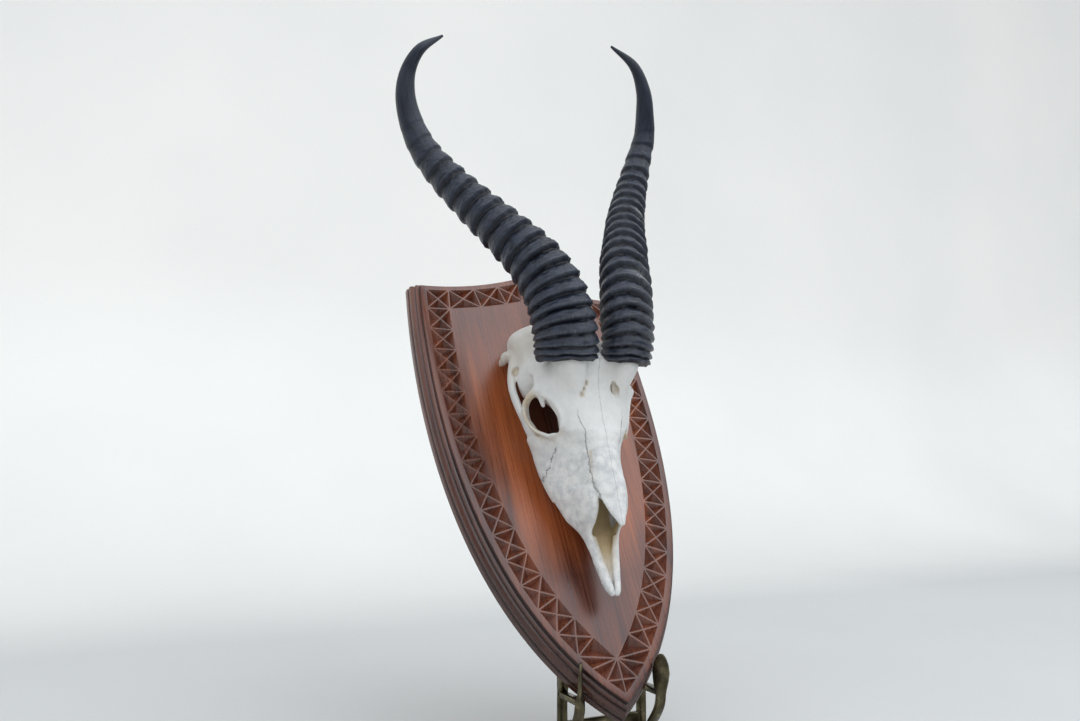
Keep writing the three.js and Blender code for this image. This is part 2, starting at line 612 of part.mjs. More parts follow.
function makeBar(centre, lean) {
  const span = 2 * (UPRIGHT_X - STRIP_WIDTH / 2 - GAP);
  return new THREE.BoxGeometry(span, STRIP_THICKNESS, BAR_HEIGHT)
    .rotateX(-lean)
    .translate(0, centre.x, centre.y);
}

function makeRearLeg() {
  const top = leaned([uprightBack + STRIP_THICKNESS + GAP, BAR_UP_SHIELD + BAR_HEIGHT / 2]);
  const knee = leaned([uprightBack + STRIP_THICKNESS + GAP, BAR_UP_SHIELD - BAR_HEIGHT]);
  const ankle = new THREE.Vector2(REAR_LEG_BACK, footLevel + REAR_FOOT_BEND);
  const heel = new THREE.Vector2(REAR_LEG_BACK + REAR_FOOT_BEND, footLevel);
  const sole = new THREE.Vector2(REAR_LEG_BACK + 2 * REAR_FOOT_BEND, footLevel);
  const toe = new THREE.Vector2(REAR_LEG_BACK + REAR_FOOT_LENGTH, footLevel);
  return plainStrip([top, knee, ankle, heel, sole, toe], 0, REAR_LEG_WIDTH);
}

function named(name, geometry, material) {
  const mesh = new THREE.Mesh(geometry, material);
  mesh.name = name;
  return mesh;
}

// The skull is cut clear of the horns that sit on it.
const hornPlaces = [
  { name: 'horn_left', hook: LEFT_HOOK, place: mirrored },
  { name: 'horn_right', hook: RIGHT_HOOK, place: (point) => point },
];
const clearances = hornPlaces.map(({ hook, place }) => solid(makeHorn(hook, place, GAP)));
const skullBody = clearances.reduce((body, horn) => body.subtract(horn), makeSkull());

const head = new THREE.Group();
head.position.set(...SNOUT_TIP);
head.rotation.x = SKULL_PITCH;
head.add(named('skull', geometryOf(skullBody), BONE));
hornPlaces.forEach(({ name, hook, place }) => {
  head.add(named(name, geometryOf(solid(makeHorn(hook, place))), HORN));
});

const mounted = new THREE.Group();
mounted.position.z = SHIELD_TIP_ABOVE_FLOOR;
mounted.rotation.x = -SHIELD_LEAN;
mounted.add(head, named('shield', geometryOf(makeShield()), WOOD));

const easel = new THREE.Group();
easel.add(
  named('easel_upright_left', geometryOf(makeUpright(-UPRIGHT_X)), BRASS),
  named('easel_upright_right', geometryOf(makeUpright(UPRIGHT_X)), BRASS),
  named('easel_top_bar', makeBar(leaned([uprightBack, BAR_UP_SHIELD]), SHIELD_LEAN), BRASS),
  named('easel_low_bar', makeBar(flatPoint(LOW_BAR_PLACE), 0), BRASS),
  named('easel_rear_leg', makeRearLeg(), BRASS),
);

// The origin is the middle of the footprint, on the floor.
const trophy = new THREE.Group();
trophy.add(mounted, easel);
const box = new THREE.Box3().setFromObject(trophy, true);
const middle = box.getCenter(new THREE.Vector3());
trophy.position.set(-middle.x, -middle.y, -box.min.z);

export default trophy;
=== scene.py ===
import math

import bmesh
import bpy
import numpy as np
import openvdb
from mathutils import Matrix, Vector, geometry


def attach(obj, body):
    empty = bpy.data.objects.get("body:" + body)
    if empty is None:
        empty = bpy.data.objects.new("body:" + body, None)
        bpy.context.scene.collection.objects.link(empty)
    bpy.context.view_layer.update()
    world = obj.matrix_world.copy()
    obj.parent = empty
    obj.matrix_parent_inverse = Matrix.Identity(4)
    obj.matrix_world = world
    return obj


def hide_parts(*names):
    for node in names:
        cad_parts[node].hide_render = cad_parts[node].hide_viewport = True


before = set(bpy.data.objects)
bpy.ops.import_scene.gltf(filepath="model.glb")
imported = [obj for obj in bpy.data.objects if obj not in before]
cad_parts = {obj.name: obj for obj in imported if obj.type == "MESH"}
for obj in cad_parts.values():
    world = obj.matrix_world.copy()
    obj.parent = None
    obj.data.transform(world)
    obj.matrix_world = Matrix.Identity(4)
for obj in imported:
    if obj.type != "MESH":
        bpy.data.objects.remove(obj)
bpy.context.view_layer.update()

# Shield, in millimetres: x across, y back from the front face, z up the face from its tip.
LEAN = math.radians(29.5)
TIP_ABOVE_FLOOR = 45.0
SHIFT_X = -0.663
SHIFT_Y = -94.081
CORNER = (86.0, 330.0)
PEAK_HEIGHT = 345.5
THICKNESS = 18.8
SIDE_CONTROLS = [(0, 0), (67.7, 51), (101, 159), CORNER]
TOP_CONTROLS = [CORNER, (43, 330), (0, PEAK_HEIGHT)]
SIDE_STEPS = 72
TOP_STEPS = 20
# Edge moulding, [outward, back]: small round, groove, bead, groove, broad swell, square outer band.
MOULDING = [
    (0, 0), (0.35, 0.12), (0.6, 0.5), (0.7, 2.6), (0.9, 3.0), (1.5, 3.05), (2.4, 3.2), (3.1, 3.7),
    (3.4, 4.5), (3.3, 5.5), (2.9, 6.2), (3.0, 6.6), (3.9, 6.9), (4.9, 7.6), (5.7, 8.8), (6.2, 10.4),
    (6.3, 12.0), (6.0, 13.2), (6.1, 13.6), (6.8, 13.8), (7.1, 14.2), (7.1, 18.2), (6.6, 18.8),
]
# Depths of the moulding's grooves, where more painted shade goes.
MOULDING_GROOVES = [2.6, 3.0, 6.2, 6.6, 13.2, 13.6]
BAND_OUTER = 3.4
BAND_INNER = 21.8
SIDE_CELLS = 15
TOP_CELLS = 3
FAN_LENGTH = 42.0
FAN_END = 18.0
FAN_CHIPS = 2
RIDGE_HALF_WIDTH = 0.5
CHIP_DEPTH = 5.2
# A chip is as deep as its width allows, up to the depth above; its lip is given as inset and drop.
CHIP_STEEPNESS = 0.95
CHIP_LIP = [(RIDGE_HALF_WIDTH, 0), (RIDGE_HALF_WIDTH + 0.22, 0.3)]
CHIP_JITTER = 0.3
CHIP_SEED = 7
# Share of painted shade on the moulding, and how much more of it is painted in the grooves.
MOULDING_PAINTED_SHADE = 0.15
GROOVE_PAINTED_SHADE = 0.7

# Skull, in its own frame: x across, depth towards the shield, along from the snout to the nape.
SNOUT_TIP = (0.0, -18.4, 62.0)
PITCH = math.radians(20.9)

# Half outlines of the face, each after its place along the skull, from the nose ridge to the palate.
FACE_STATIONS = [
    [65, (0, -13.2), (7.5, -11.5), (11.5, -5.8), (15, 3), (20, 15), (25, 27), (24.8, 33), (15, 31), (0, 25)],
    [78, (0, -10.4), (8, -8.5), (11.6, -3.4), (16, 6), (22.5, 19), (29, 32), (29, 38), (17, 36), (0, 29)],
    [92, (0, -7.6), (8, -6), (11.7, -1.2), (17.5, 8), (25, 21), (31.5, 35), (31.6, 42.5), (19, 41), (0, 33)],
    [103, (0, -5.4), (8, -4.2), (12.5, -0.4), (20, 9), (27, 21.5), (33, 34), (33.5, 44), (20, 44), (0, 36)],
    [110, (0, -4), (9, -3.2), (16, 0), (23, 8), (30, 20), (35.5, 33), (35.5, 45), (20, 46), (0, 38)],
]
# Roof of the skull: the upper line of a curved plate.
ROOF_STATIONS = [
    [104, (0, -5), (8, -4), (14, 1), (19, 7), (24, 14)],
    [113, (0, -3.2), (9, -2.6), (16, 0), (22, 5), (25.5, 11)],
    [121, (0, -1.8), (10, -1.2), (18, 1), (23.5, 5.2), (26.5, 10.5)],
    [132, (0, -0.8), (11, -0.2), (20, 1.6), (28, 7.2), (31.5, 13.5)],
    [142, (0, -0.6), (11, 0), (21, 1.2), (31.5, 9), (37.5, 20)],
    [151, (0, -2.4), (11, -2), (21, -0.4), (30.5, 8), (36.5, 25)],
    [160, (0, -4), (11, -3), (20, 1), (29, 13), (34.5, 34)],
    [168, (0, 6), (10, 8), (20, 15), (28, 27), (33, 42)],
]
ROOF_THICKNESS = 6.0
ROOF_EDGE_THICKNESS = 4.0
ROOF_UNDERSIDE_WIDTH = 0.92
# Inner wall between the eyes and the braincase behind it.
CRANIUM_STATIONS = [
    [100, (0, 0), (8, 2), (12, 10), (13, 24), (12, 36), (0, 40)],
    [118, (0, 1), (10, 3), (14, 12), (13, 26), (12, 40), (0, 45)],
    [132, (0, 2), (12, 4), (16, 14), (15, 30), (13, 44), (0, 51)],
    [146, (0, 3), (16, 6), (27, 18), (31, 34), (29, 50), (0, 58)],
    [160, (0, 8), (18, 13), (32, 28), (37, 44), (35, 58), (0, 66)],
    [174, (0, 14), (18, 20), (31, 36), (36, 52), (32, 68), (0, 74)],
    [186, (0, 26), (17, 30), (31, 43), (37, 58), (32, 74), (0, 80)],
    [196, (0, 40), (14, 43), (25, 52), (30, 64), (26, 77), (0, 84)],
    [203, (0, 56), (8, 58), (14, 64), (16, 71), (13, 78), (0, 82)],
]
# Nasal bones over the nose opening: [along, half width, crown depth, edge drop].
NASAL_STATIONS = [
    [44, 1.6, -17.4, 0.6], [50, 4.6, -16.4, 2], [58, 8, -14.6, 4], [66, 11, -12.8, 6], [76, 11.2, -10.8, 5.5],
]
NASAL_THICKNESS = 2.6
NASAL_SHOULDER = 0.6
NASAL_UNDERSIDE_WIDTH = 0.9
# Side wall of the snout: [along, upper x, upper depth, lower x, lower depth, thickness].
PRONG_STATIONS = [
    [0, 2, -0.4, 2.8, 1.4, 3], [2.4, 2.9, -0.9, 4.4, 3.2, 4.4], [14, 6, 2.5, 7.6, 8, 5],
    [31, 9, 6.5, 10.6, 13, 4.8], [43, 11.4, 6, 14, 18.5, 4.6], [50, 12.4, 0, 19, 24, 4.4],
    [60, 12.6, -4.5, 22.4, 29.5, 4], [72, 13, -2.5, 26.5, 33, 4],
]
PRONG_BULGE = 1.0
PRONG_INSET = 0.6
# Floor of the nose between the side walls.
PALATE_STATIONS = [
    [9, (0, 4.4), (4.4, 4.4), (4.4, 6.4), (0, 6.4)],
    [31, (0, 10), (8.6, 10), (8.6, 12.6), (0, 12.6)],
    [48, (0, 17.4), (15, 19), (15, 22.4), (0, 21.4)],
    [70, (0, 18.6), (20, 22), (20, 30.4), (0, 27)],
]
# Nose opening.
NOSE_STATIONS = [
    [40, (0, -12), (6, -10), (8.4, -2), (9.4, 8), (7, 12.4), (0, 12.4)],
    [66, (0, -9.8), (6.5, -8), (9, -2), (10.5, 10), (8, 18), (0, 19)],
    [92, (0, -4), (5, -3), (7, 2), (8, 12), (6, 18), (0, 18)],
]
# Rim of the eye socket: centre, half axes, half sizes of the rim and the way it faces.
ORBIT_CENTRE = np.array((33.4, 21, 123.5))
ORBIT_LONG_AXIS = np.array((-3.3, -0.4, -14.9))
ORBIT_SHORT_AXIS = np.array((7.8, 12.5, 2.3))
ORBIT_RIM = (1.5, 2.5)
ORBIT_FACING = (0.75, -0.55, 0.2)

# Limbs of bone: middle line, [thickness, height] half sizes, softness of the join.
LIMBS = [
    ([(30, 37, 106), (34, 40, 116), (38.8, 46, 131), (41, 53, 150), (37, 58, 166), (32, 62, 178)],
     [(5, 8), (3.4, 6), (2.2, 4), (2.2, 4), (3.2, 5), (4, 6)], 3.0),
    ([(35, 18, 142), (38.4, 28, 139), (39.4, 35, 133.5), (37.4, 41, 126)],
     [(4, 4.6), (2.6, 3.6), (2.2, 3.2), (2.4, 3.6)], 2.5),
    ([(32, 62, 174), (35.5, 70, 177), (36.5, 79, 175)], [(4, 6), (3, 5.5), (2, 3.5)], 2.0),
    ([(22, 70, 188), (26, 79, 190), (26, 86, 188)], [(6, 6), (4, 4.6), (1.6, 2)], 2.5),
    ([(16, 14, 134), (18.5, 6, 147), (21, 0.6, 158)], [(8, 10), (9.5, 12.5), (11, 15)], 4.0),
    ([(35.6, 19.5, 138.6), (34, 21, 135.5), (32, 22.6, 130.5)], [(2.4, 3), (2.2, 2.8), (1.4, 2)], 1.0),
    ([(32, 46, 160), (33, 48, 152), (31, 50, 145)], [(5, 6), (4.6, 6), (3.4, 5)], 3.0),
]
# Holes for nerves and vessels, and grooves that lead from them: centre and half sizes, or path and sizes.
PITS = [
    ((-9.6, -0.6, 142.4), (1.4, 2.4, 2.0)), ((-11.6, -0.4, 138.2), (1.2, 2.2, 1.6)),
    ((-13.2, -0.2, 134.4), (1.7, 2.4, 1.7)), ((11.2, 0.6, 140), (1.5, 5.5, 4.2)),
    ((13, -0.4, 139.6), (2.6, 2.4, 4.8)),
    ((-20.6, 16, 55), (1.3, 1.6, 1.4)), ((20.6, 16, 55), (1.3, 1.6, 1.4)),
    ((-38.4, 50.5, 161.5), (3.0, 3.4, 3.4)), ((38.4, 50.5, 161.5), (3.0, 3.4, 3.4)),
]
GROOVES = [
    ([(12, -0.8, 146), (12.4, -0.2, 140), (14.6, 0, 134), (16, 0.2, 126)],
     [(0.7, 0.7), (1.5, 1.5), (1.2, 1.2), (0.5, 0.5)]),
    ([(-11.5, -0.6, 136), (-13.6, -0.4, 131), (-15, 0, 125)], [(0.8, 0.8), (0.7, 0.7), (0.4, 0.4)]),
]
TEAR_HOLLOW = ((26, 10.5, 106), (3.4, 5, 4.6))
EAR_BULB = ((19, 75.1, 172), (8, 9, 11))
CONDYLE = ((10, 80, 198), (7, 9, 8))
TOOTH_COUNT = 6
TOOTH_ROW_START = np.array((16, 31, 66))
TOOTH_ROW_END = np.array((22, 45, 110))
TOOTH_HALF = (4.5, 12.1, 3.91)
# Softness of the joins between bones and of the edges of the cuts.
BODY_JOIN = 4.0
ROOF_JOIN = 3.0
PLATE_JOIN = 1.5
BULB_JOIN = 2.0
CONDYLE_JOIN = 2.5
TOOTH_JOIN = 1.0
NOSE_EDGE = 1.0
TEAR_HOLLOW_EDGE = 4.0
PIT_EDGE = 0.5
GROOVE_EDGE = 1.0
# Lumps of the bone's surface: size, height and seed.
LUMPS = [(9.0, 0.3, 3), (3.6, 0.14, 4)]
# Reach of the stain round the eye socket, and the stain's share on the braincase.
RIM_STAIN_REACH = 3.6
BRAINCASE_STAIN = 0.3

# Horns: middle line in the skull frame; the lower part is shared, each hook is its own.
HORN_STEM = [
    (23.6, 0.6, 156.5), (24.8, -3.6, 174), (27, -2, 195.6), (31, 2.9, 214), (38, 13, 234.8),
    (50, 28.6, 258.8), (65, 47.8, 286.8), (81, 63.9, 315), (94, 73.5, 340.2), (103, 74.8, 363.2),
    (108, 70.6, 383),
]
RIGHT_HOOK = [(106, 63.2, 399.8), (101, 54.7, 416.9), (90, 49, 435.8), (72, 53.8, 454)]
LEFT_HOOK = [(107, 64.4, 400.4), (101, 54.2, 412.8), (82, 53.9, 429)]
HORN_BASE_HALF = (22.4, 17.4)
HORN_BROAD_DIRECTION = np.array((0.7, 0.7, 0))
# Girth against the base's, by share of the length.
HORN_TAPER = [
    (0, 0.98), (0.1, 1), (0.2, 0.94), (0.4, 0.77), (0.55, 0.66), (0.68, 0.54), (0.83, 0.36), (0.93, 0.2),
    (1, 0.05),
]
HORN_ROUNDING = 0.55
HORN_STEPS = 600
HORN_SIDES = 80
# Rings: their number, spacing from the base up, height, and the share of each that falls away.
LEFT_RINGS = 21
RIGHT_RINGS = 23
RING_FIRST_PITCH = 4.5
RING_PITCH_GROWTH = 0.98
RING_LAST_PITCH = 15.0
RING_START = 1.7
RING_HEIGHT = 4.6
RING_FALL = 0.8
# Width of the painted highlight on a ring's crest, and the base's place before the first ring.
CREST_WIDTH = 0.8
BASE_PLACE = -0.3
# Tilt and ripple of a ring round the horn, and how ragged its fibres make it.
RING_TILT = 1.6
RING_RIPPLE = 0.5
RING_RAGGED = 0.16
RAGGED_SEED = 11
# The base edge is tucked in and wavy: height, then the length over which it dies out.
BASE_TUCK = (2.6, 1.8)
BASE_WAVE = (1.1, 7)
# Flaked spots of the right horn: length from its base and turn round it.
RIGHT_FLAKES = [(60, 4.3), (155, 4.35)]
FLAKE_LENGTH = 4.0
FLAKE_TIGHTNESS = 12.0
FLAKE_DEPTH = 0.6

# Easel of brass bar. Its side plane has y back from the shield's front tip and z up from the floor.
STRIP_WIDTH = 6.5
STRIP_THICKNESS = 3.6
# Bar section with eased corners, in half widths and half thicknesses.
STRIP_SECTION = [
    (-1, -0.55), (-0.94, -0.85), (-0.82, -1), (0.82, -1), (0.94, -0.85), (1, -0.55),
    (1, 0.55), (0.94, 0.85), (0.82, 1), (-0.82, 1), (-0.94, 0.85), (-1, 0.55),
]
GAP = 0.3
FOOT_LEVEL = STRIP_THICKNESS / 2
UPRIGHT_X = 30.0
UPRIGHT_TOP = 176.0
UPRIGHT_BEND = 24.0
UPRIGHT_BACK = THICKNESS + GAP + STRIP_THICKNESS / 2
LEG_PATH = [(33, 44), (33, FOOT_LEVEL), (-2, FOOT_LEVEL)]
REST_PATH = [(33, 45.7), (9.4, 45.7)]
TONGUE_PATH = [(33, 12), (27, 17), (20, 24), (10, 38), (8.5, 54), (7.5, 70)]
# Height above the floor, then the tongue's half width, thickness and share of its twist.
TONGUE_SHAPE = [
    (40, 3.25, 3.6, 0), (44, 3.25, 3.4, 0.25), (49, 4.3, 3.0, 0.8), (53, 5.3, 2.6, 1), (58.5, 6, 2.4, 1),
    (64, 5, 2.2, 1), (68, 3.2, 2.0, 1), (70, 1.4, 1.6, 1),
]
TONGUE_TWIST = math.radians(58)
BAR_UP_SHIELD = 158.0
BAR_HEIGHT = 9.0
LOW_BAR_PLACE = (33, 24)
BEND = 4.0
REAR_LEG_WIDTH = 7.0
REAR_LEG_BACK = 90.0
REAR_FOOT_LENGTH = 14.0

# Grid of signed distances over the right half of the skull, then mirrored over the whole.
VOXEL = 0.9
FAR = 12.0
PAD = 7.0
HALF_GRID = (np.arange(0, 50.1, VOXEL), np.arange(-21, 94.1, VOXEL), np.arange(-5, 211.1, VOXEL))
WHOLE_GRID = (np.concatenate([-HALF_GRID[0][:0:-1], HALF_GRID[0]]), *HALF_GRID[1:])

# Angle in degrees past which an edge of each material stays sharp.
SHARP_EDGE = {"bone": 80, "horn": 75, "wood": 24, "brass": 40}

# Colours, and tones by level of noise.
BONE_PALE = (0.77, 0.76, 0.73)
BONE_GREY = (0.56, 0.565, 0.56)
# Warm stain, and painted shade in the holes.
BONE_STAIN_AND_SHADE = (0.50, 0.38, 0.21)
BONE_SEAM = (0.20, 0.19, 0.18)
# Painted shade inside the nose opening.
NOSE_PAINTED_SHADE = (0.42, 0.30, 0.135)
HORN_TONES = [(0.35, (0.005, 0.008, 0.017)), (0.65, (0.017, 0.024, 0.044))]
# Painted shade in the grooves between the rings.
HORN_GROOVE_SHADE = (0.002, 0.002, 0.003)
# Painted highlight on the rings' crests.
HORN_CREST_HIGHLIGHT = (0.13, 0.14, 0.16)
HORN_FLAKED = (0.36, 0.37, 0.36)
WOOD_TONES = [
    (0.34, (0.033, 0.0095, 0.006)), (0.46, (0.09, 0.0245, 0.0125)),
    (0.55, (0.138, 0.039, 0.0185)), (0.68, (0.2, 0.061, 0.028)),
]
# Painted warm bounce light round the skull, from dark to light.
WOOD_BOUNCE_LIT_DARK = (0.26, 0.060, 0.017)
WOOD_BOUNCE_LIT_LIGHT = (0.46, 0.125, 0.034)
# Painted shadow straight behind the skull.
WOOD_SHADOW_BEHIND_SKULL = (0.022, 0.006, 0.004)
WOOD_PORE = (0.03, 0.009, 0.006)
WOOD_CUT = (0.12, 0.034, 0.016)
# Painted shade on the moulding.
WOOD_PAINTED_SHADE = (0.02, 0.006, 0.004)
# Painted highlight on the carving's ridges.
WOOD_RIDGE_HIGHLIGHT = (0.30, 0.17, 0.12)
BRASS_TONES = [(0.3, (0.045, 0.038, 0.024)), (0.55, (0.11, 0.094, 0.056)), (0.8, (0.28, 0.23, 0.13))]
FLOOR_TONES = [(0.3, (0.53, 0.53, 0.515)), (0.7, (0.57, 0.57, 0.55))]
SKY_COLOUR = (0.86, 0.92, 1.0)
SKY_AT_HORIZON = 0.06
SKY_OVERHEAD = 1.75

# Floor and backdrop, in metres.
FLOOR_HALF_WIDTH = 4.0
FLOOR_FRONT = -2.5
BACKDROP_START = 0.7
BACKDROP_BEND = 0.6
BACKDROP_TOP = 3.5

# Camera: place in millimetres over the floor, turn in degrees, lens and sensor.
CAMERA_PLACE = (-312.2, -511.2, 196.1)
CAMERA_TURN = (96.24, 0, -26.07)
LENS = 30.48
SENSOR_WIDTH = 36


def leaned(points):
    """Side-plane places (y, z) over the floor of points (y, z) in the shield frame."""
    y, z = np.asarray(points, float).T
    cos, sin = math.cos(LEAN), math.sin(LEAN)
    return np.stack([y * cos + z * sin, TIP_ABOVE_FLOOR + z * cos - y * sin], axis=1)


def floor_to_row(points):
    """Upright frame in millimetres, with the shield's front tip over y = 0, to the row frame in metres."""
    return (np.asarray(points, float) + (SHIFT_X, SHIFT_Y, 0)) / 1000


def shield_to_row(points):
    """Shield frame in millimetres to the row frame in metres."""
    points = np.asarray(points, float)
    return floor_to_row(np.column_stack([points[:, 0], leaned(points[:, 1:])]))


def skull_to_row(points):
    """Skull frame in millimetres to the row frame in metres."""
    x, depth, along = np.asarray(points, float).T
    cos, sin = math.cos(PITCH), math.sin(PITCH)
    y = SNOUT_TIP[1] + depth * cos - along * sin
    z = SNOUT_TIP[2] + depth * sin + along * cos
    return shield_to_row(np.stack([x, y, z], axis=1))


def rise(value, low, high):
    """Share that grows from zero at low to one at high."""
    return np.clip((value - low) / (high - low), 0, 1)


def hermite(share, start, end, leave, arrive):
    """Smooth run from start to end with the given slopes there."""
    square, cube = share**2, share**3
    return (
        (2 * cube - 3 * square + 1) * start + (cube - 2 * square + share) * leave
        + (3 * square - 2 * cube) * end + (cube - square) * arrive
    )


def spline(points, per_segment=24, ends=None):
    """Smooth curve through points; ends are the points before the first and after the last."""
    points = np.asarray(points, float)
    if ends is None:
        ends = (2 * points[0] - points[1], 2 * points[-1] - points[-2])
    padded = np.vstack([ends[0], points, ends[1]])
    share = np.linspace(0, 1, per_segment + 1)[1:, None]
    curve = [points[:1]]
    for a, b, c, d in zip(padded, padded[1:], padded[2:], padded[3:]):
        first, middle, last = [max(np.linalg.norm(q - p), 1e-6) ** 0.5 for p, q in ((a, b), (b, c), (c, d))]
        leave = ((b - a) / first - (c - a) / (first + middle) + (c - b) / middle) * middle
        arrive = ((c - b) / middle - (d - b) / (middle + last) + (d - c) / last) * middle
        curve.append(hermite(share, b, c, leave, arrive))
    return np.vstack(curve)


def run_lengths(curve):
    return np.concatenate([[0], np.cumsum(np.linalg.norm(np.diff(curve, axis=0), axis=1))])


def at_lengths(curve, lengths):
    """Points of a curve at the given lengths from its start."""
    runs = run_lengths(curve)
    return np.stack([np.interp(lengths, runs, axis) for axis in curve.T], axis=1)


def unit(vectors):
    return vectors / np.linalg.norm(vectors, axis=-1, keepdims=True)


def lattice_noise(points, size, seed):
    """Smooth noise between -1 and 1 over points, with lumps of the given size."""
    table = np.random.default_rng(seed).uniform(-1, 1, (32, 32, 32))
    scaled = np.asarray(points) / size
    base = np.floor(scaled).astype(int)
    part = scaled - base
    part = part * part * (3 - 2 * part)
    total = np.zeros(len(scaled))
    for corner in np.ndindex(2, 2, 2):
        weight = np.prod(np.where(corner, part, 1 - part), axis=1)
        index = (base + corner) % 32
        total += weight * table[index[:, 0], index[:, 1], index[:, 2]]
    return total


def soft_union(a, b, soft):
    share = np.clip(0.5 + 0.5 * (b - a) / soft, 0, 1)
    return b * (1 - share) + a * share - soft * share * (1 - share)


def soft_cut(a, b, soft):
    return -soft_union(-a, b, soft)


def outline_distance(outline, x, depth):
    """Signed distance in a plane to an outline, negative inside."""
    start, edge = outline[:-1], np.diff(outline, axis=0)
    keep = (edge**2).sum(axis=1) > 1e-12
    start, edge = start[keep], edge[keep]
    from_x = x[:, None] - start[:, 0]
    from_depth = depth[:, None] - start[:, 1]
    share = np.clip((from_x * edge[:, 0] + from_depth * edge[:, 1]) / (edge**2).sum(axis=1), 0, 1)
    squared = (from_x - share * edge[:, 0]) ** 2 + (from_depth - share * edge[:, 1]) ** 2
    rising = edge[:, 1]
    crosses = (from_depth < 0) != (from_depth < rising)
    with np.errstate(divide="ignore", invalid="ignore"):
        right_of = from_x < np.where(rising == 0, 0, from_depth / rising * edge[:, 0])
    inside = (crosses & right_of).sum(axis=1) % 2 == 1
    distance = np.sqrt(squared.min(axis=1))
    return np.where(inside, -distance, distance)


def between_stations(keys, rows, at):
    """Smooth change of the rows of points from station to station."""
    index = int(np.clip(np.searchsorted(keys, at) - 1, 0, len(keys) - 2))
    span = keys[index + 1] - keys[index]
    slopes = np.gradient(rows, keys, axis=0) * span
    share = (at - keys[index]) / span
    return hermite(share, rows[index], rows[index + 1], slopes[index], slopes[index + 1])


def half_outline(points):
    """Smooth half outline that meets the middle plane squarely."""
    mirror = np.array((-1, 1))
    return spline(points, 5, (points[1] * mirror, points[-2] * mirror))


def closed_outline(points):
    loop = np.vstack([points, points[:1]])
    return spline(loop, 5, (points[-1], points[1]))


def loft_distance(stations, axes, smooth):
    """Signed distance, over a grid's axes, to a body through outlines at places along the skull."""
    keys = np.array([station[0] for station in stations], float)
    rows = np.array([station[1:] for station in stations], float)
    x, depth = np.meshgrid(*axes[:2], indexing="ij")
    layers = []
    for along in axes[2]:
        outline = smooth(between_stations(keys, rows, np.clip(along, keys[0], keys[-1])))
        flat = outline_distance(outline, x.ravel(), depth.ravel()).reshape(x.shape)
        layers.append(np.maximum(flat, max(keys[0] - along, along - keys[-1])))
    return np.stack(layers, axis=2)


def ellipsoid_distance(offsets, halves):
    """Near distance to an ellipsoid, from the offsets along its axes and its half sizes."""
    first = np.sqrt(sum((offset / half) ** 2 for offset, half in zip(offsets, halves)))
    second = np.sqrt(sum((offset / half**2) ** 2 for offset, half in zip(offsets, halves)))
    return first * (first - 1) / np.maximum(second, 1e-6)


def limb_distance(curve, sizes, axes, direction):
    """Signed distance, over a grid's axes, to a tapered limb; height lies nearest the given direction."""
    spots = np.stack(np.meshgrid(*axes, indexing="ij"), axis=-1)
    place = np.linspace(0, len(sizes) - 1, len(curve))
    columns = [np.interp(place, range(len(sizes)), column) for column in np.array(sizes, float).T]
    halves = np.stack(columns, axis=1)
    best = np.full(spots.shape[:3], FAR)
    for start, end, half, next_half in zip(curve, curve[1:], halves, halves[1:]):
        length = np.linalg.norm(end - start)
        tangent = (end - start) / length
        broad = unit(direction - np.dot(direction, tangent) * tangent)
        narrow = np.cross(tangent, broad)
        offset = spots - start
        run = offset @ tangent
        share = np.clip(run / length, 0, 1)
        thick, high = [a + share * (b - a) for a, b in zip(half, next_half)]
        offsets = (offset @ broad, offset @ narrow, run - share * length)
        best = np.minimum(best, ellipsoid_distance(offsets, (high, thick, np.minimum(high, thick))))
    return best


class Carving:
    """Body of bone as signed distances over a grid, built up by joining and cutting."""

    def __init__(self, grid, field=None):
        self.grid = grid
        self.field = np.full([len(axis) for axis in grid], FAR) if field is None else field

    def box(self, low, high):
        """Slices of the grid that cover a box with room round it, and its axes there."""
        parts = tuple(
            slice(int(np.searchsorted(axis, a - PAD)), int(np.searchsorted(axis, b + PAD)))
            for axis, a, b in zip(self.grid, low, high)
        )
        return parts, [axis[part] for axis, part in zip(self.grid, parts)]

    def change(self, parts, distance, soft, cut):
        combine = soft_cut if cut else soft_union
        self.field[parts] = combine(self.field[parts], distance, soft)

    def loft(self, stations, soft, smooth=half_outline, cut=False):
        rows = np.array([station[1:] for station in stations], float).reshape(-1, 2)
        low, high = rows.min(axis=0), rows.max(axis=0)
        parts, axes = self.box((*low, stations[0][0]), (*high, stations[-1][0]))
        self.change(parts, loft_distance(stations, axes, smooth), soft, cut)

    def limb(self, path, sizes, soft, cut=False, direction=(0, 1, 0)):
        curve = spline(path, 8)
        reach = np.max(sizes)
        parts, axes = self.box(curve.min(axis=0) - reach, curve.max(axis=0) + reach)
        self.change(parts, limb_distance(curve, sizes, axes, np.array(direction, float)), soft, cut)

    def knob(self, centre, half, soft, cut=False):
        centre, half = np.array(centre, float), np.array(half, float)
        parts, axes = self.box(centre - half, centre + half)
        offsets = [spots - middle for spots, middle in zip(np.meshgrid(*axes, indexing="ij"), centre)]
        self.change(parts, ellipsoid_distance(offsets, half), soft, cut)

    def roughen(self, size, height, seed):
        """Lumps of the given size over the surface."""
        near = np.nonzero(np.abs(self.field) < 3)
        spots = np.stack([axis[index] for axis, index in zip(self.grid, near)], axis=1)
        self.field[near] += height * lattice_noise(spots + 100, size, seed)

    def smooth(self):
        for axis in range(3):
            before = np.roll(self.field, 1, axis)
            after = np.roll(self.field, -1, axis)
            self.field = (before + 2 * self.field + after) / 4


def roof_outlines():
    for along, *upper in ROOF_STATIONS:
        edge_x, edge_depth = upper[-1]
        lower = [(x * ROOF_UNDERSIDE_WIDTH, depth + ROOF_THICKNESS) for x, depth in reversed(upper[:-1])]
        yield [along, *upper, (edge_x, edge_depth + ROOF_EDGE_THICKNESS), *lower]


